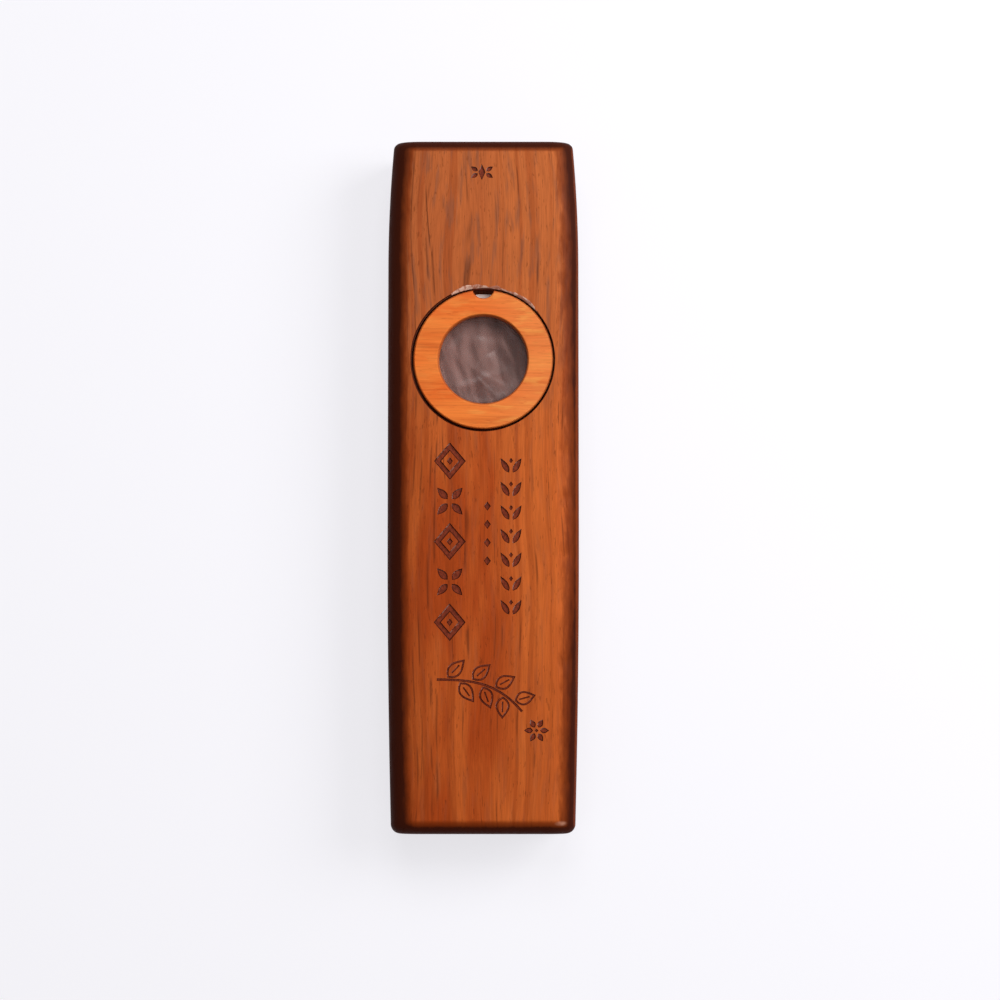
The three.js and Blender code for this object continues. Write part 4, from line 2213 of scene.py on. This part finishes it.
@dataclass
class Membrane:
    """The lift-out membrane: white plate, adhesive and creased film, in millimetres."""

    well: Well
    plate_edge: float = 0.12
    band_from_rim: float = 0.03
    band_to_rim: float = 2.9
    film_thickness: float = 0.06
    film_held: float = 1.6  # how far in from the port's edge the film is still partly held
    film_slack: float = 0.05  # how far all of the free film hangs
    soft_depth: float = 0.1
    turn_steps: int = 200
    film_rings: int = 60
    creases: tuple[Crease, ...] = (
        Crease(62.0, 5.6, 0.9, 0.16, 1.0, 5.0),
        Crease(118.0, -1.2, 1.1, 0.2, 1.5, 4.5),
        Crease(128.0, 2.6, 0.35, 0.07, -3.5, 3.2),
        Crease(148.0, 2.2, 0.5, 0.1, -3.0, 3.6),
        Crease(20.0, -3.4, 0.8, 0.16, -2.0, 4.0),
        Crease(78.0, 1.0, 0.6, 0.12, -0.5, 2.6),
        Crease(170.0, -4.6, 0.9, -0.12, 0.5, 3.6),
        Crease(100.0, -5.2, 1.2, -0.14, 0.0, 5.0),
        Crease(40.0, 0.4, 0.45, -0.08, 1.5, 2.4),
    )

    def build(self) -> None:
        """Makes and dresses the plate, the adhesive and the film."""
        centre, steps = self.well.membrane_centre, self.turn_steps
        plate = turned(self._plate_profile, centre, steps)
        band = turned(self._adhesive_profile, centre, steps)
        for name, made, finish, slot, node in (
            ("white_plate", plate, StyreneSheet(), Slot.WHITE_PLASTIC, "membrane_ring"),
            ("adhesive_band", band, AcrylicAdhesive(), Slot.ADHESIVE, "membrane_adhesive"),
            ("creased_film", self._film(), PolyetheneFilm(), Slot.FILM, "membrane_film"),
        ):
            piece = as_object(name, made, finish.build())
            smooth_shade(piece)
            dress(piece, Body.MEMBRANE, node)

    def _plate_profile(self, _: float) -> list[Point]:
        """Gives the die-cut plate's section, with slightly rounded edges.

        Returns:
            The section's points, as radius and height.
        """
        well, edge = self.well, self.plate_edge
        inner, outer = well.plate_opening_radius, well.plate_radius
        low, high = well.plate_bottom, well.ring_bottom
        return [
            *arc((outer - edge, low + edge), edge, -1, 0, 3),
            *arc((outer - edge, high - edge), edge, 0, 1, 3),
            *arc((inner + edge, high - edge), edge, 1, 2, 3),
            *arc((inner + edge, low + edge), edge, 2, 3, 3),
        ]

    def _adhesive_profile(self, angle: float) -> list[Point]:
        """Gives the adhesive band's section, with a slightly uneven inner edge.

        Args:
            angle: The direction from the membrane's centre, in radians from +X.

        Returns:
            The section's points, as radius and height.
        """
        well = self.well
        squeeze = 0.12 * noise.noise(Vector((math.cos(angle) * 3, math.sin(angle) * 3, 8.0)))
        outer = well.film_radius - self.band_from_rim
        inner = well.film_radius - self.band_to_rim + squeeze
        low, high = well.film_top, well.plate_bottom
        return [(inner, low), (outer, low), (outer, high), (inner, high)]

    def _film(self) -> bmesh.types.BMesh:
        """Makes the film as a thin closed sheet, creased where it is free over the port.

        Returns:
            The closed surface, in millimetres.
        """
        rim, centre = self.well.film_radius, self.well.membrane_centre
        radii = [rim * (ring + 1) / self.film_rings for ring in range(self.film_rings)]
        made = bmesh.new()
        sheets = []
        for drop in (0.0, self.film_thickness):
            middle = made.verts.new((*centre, self._film_height(0.0, 0.0) - drop))
            rows = []
            for radius in radii:
                row = []
                for step in range(self.turn_steps):
                    angle = TURN * step / self.turn_steps
                    x, y = radius * math.cos(angle), radius * math.sin(angle)
                    place = (centre[0] + x, centre[1] + y, self._film_height(x, y) - drop)
                    row.append(made.verts.new(place))
                rows.append(row)
            sheets.append((middle, rows))
        for middle, rows in sheets:
            for at in range(self.turn_steps):
                to = (at + 1) % self.turn_steps
                made.faces.new((middle, rows[0][at], rows[0][to]))
                for low, high in zip(rows, rows[1:]):
                    made.faces.new((low[at], high[at], high[to], low[to]))
        upper, lower = sheets[0][1][-1], sheets[1][1][-1]
        for at in range(self.turn_steps):
            to = (at + 1) % self.turn_steps
            made.faces.new((upper[at], lower[at], lower[to], upper[to]))
        bmesh.ops.recalc_face_normals(made, faces=made.faces)
        return made

    def _film_height(self, x: float, y: float) -> float:
        """Gives the height of the film's upper side.

        Args:
            x: The place to the right of the film's centre.
            y: The place towards the mouth end from it.

        Returns:
            The height.
        """
        well = self.well
        radius = math.hypot(x, y)
        free = smooth((well.port_radius - radius) / self.film_held)
        sag = -well.film_dip * max(1 - (radius / well.port_radius) ** 2, 0.0)
        folds = 0.0
        for crease in self.creases:
            angle = math.radians(crease.angle_degrees)
            along = x * math.cos(angle) + y * math.sin(angle)
            off = -x * math.sin(angle) + y * math.cos(angle) - crease.offset
            off += 0.5 * noise.noise(Vector((along / 3, crease.offset, 2.0)))
            here = bump(along, crease.centre, crease.reach)
            folds += crease.height * here * bump(off, 0.0, crease.width)
        soft = self.soft_depth * noise.noise(Vector((x / 2.6, y / 3.4, 6.0)))
        return well.film_top + sag + free * (folds + soft - self.film_slack)


# The studio


@dataclass(frozen=True)
class Lamp:
    """A square softbox that faces the kazoo. Places and sizes are in metres."""

    name: str
    place: Place
    side: float
    watts: float


@dataclass
class Studio:
    """Floor, lamps and camera. The camera looks down at the top face, a little from the outlet.

    Sizes are in millimetres, but the lamps' and the point that they face are in metres.
    """

    top_face: float
    distance: float = 316.8
    focal_px: float = 1700.0
    sensor: float = 36.0
    tilt_degrees: float = 2.5
    target: Point = (3.15, -2.87)
    floor_side: float = 4000.0
    floor_gap: float = 0.02  # from the kazoo's underside down to the floor
    sky: str = "#ffffff"
    wall: str = "#ecebef"
    sky_strength: float = 0.09
    lamps: tuple[Lamp, ...] = (
        Lamp("softbox_right", (0.30, 0.12, 0.28), 0.24, 1.36),
        Lamp("softbox_far", (0.0, 0.34, 0.50), 0.30, 1.2),
        Lamp("softbox_front", (0.20, -0.36, 0.42), 0.24, 0.14),
        Lamp("softbox_left", (-0.30, -0.10, 0.60), 0.30, 0.24),
    )
    aim: Vector = field(default_factory=lambda: Vector((0.0, 0.0, 0.01)))

    def build(self) -> None:
        """Makes the floor, the lamps, the world's light and the camera."""
        self._floor()
        self._world()
        for lamp in self.lamps:
            self._lamp(lamp)
        self._camera()

    def _floor(self) -> None:
        """Lays a wide pale card just under the kazoo."""
        made = bmesh.new()
        reach = self.floor_side / 2
        corners = ((-reach, -reach), (reach, -reach), (reach, reach), (-reach, reach))
        made.faces.new([made.verts.new((x, y, -self.floor_gap)) for x, y in corners])
        floor = as_object("floor", made, PaleCard().build())

    def _world(self) -> None:
        """Lights the world with an even dim sky, which is seen as a pale wall."""
        world = bpy.data.worlds.new("studio")
        bpy.context.scene.world = world
        world.use_nodes = True
        tree = world.node_tree
        fill = tree.nodes["Background"]
        fill.inputs["Color"].default_value = linear(self.sky)
        fill.inputs["Strength"].default_value = self.sky_strength
        wall = add_node(tree, "Background", {"Color": linear(self.wall)})
        choice = add_node(tree, "MixShader", [direct_view(tree), fill, wall])
        tree.links.new(choice.outputs[0], tree.nodes["World Output"].inputs["Surface"])

    def _lamp(self, lamp: Lamp) -> None:
        """Makes one softbox, turned to face the kazoo.

        Args:
            lamp: The softbox's name, place, size and power.
        """
        light = bpy.data.lights.new(lamp.name, "AREA")
        light.shape = "SQUARE"
        light.size = lamp.side
        light.energy = lamp.watts
        made = bpy.data.objects.new(lamp.name, light)
        made.location = lamp.place
        made.rotation_euler = (self.aim - Vector(lamp.place)).to_track_quat("-Z", "Y").to_euler()
        bpy.context.scene.collection.objects.link(made)

    def _camera(self) -> None:
        """Places the camera so that the kazoo's centre falls where the photograph has it."""
        data = bpy.data.cameras.new("camera")
        data.sensor_width = self.sensor
        data.lens = self.focal_px / IMAGE_SIDE_PX * self.sensor
        data.clip_start, data.clip_end = 0.01, 10.0
        camera = bpy.data.objects.new("camera", data)
        target = Vector((*self.target, self.top_face))
        tilt = math.radians(self.tilt_degrees)
        back = Vector((0.0, -math.sin(tilt), math.cos(tilt)))
        camera.location = (target + back * self.distance) * MM
        camera.rotation_euler = (tilt, 0.0, 0.0)
        bpy.context.scene.collection.objects.link(camera)
        bpy.context.scene.camera = camera
        bpy.context.scene.view_settings.view_transform = "Standard"


def main() -> None:
    """Builds the studio and then the kazoo, from the body out to the ring."""
    logging.basicConfig(level=logging.INFO, format="%(name)s: %(message)s")
    well = Well.from_frame()
    body = WoodenBody.from_frame(well)
    Studio(top_face=body.thickness).build()
    body.build()
    Membrane(well).build()
    RetainingRing(well).build()


if __name__ == "__main__":
    main()
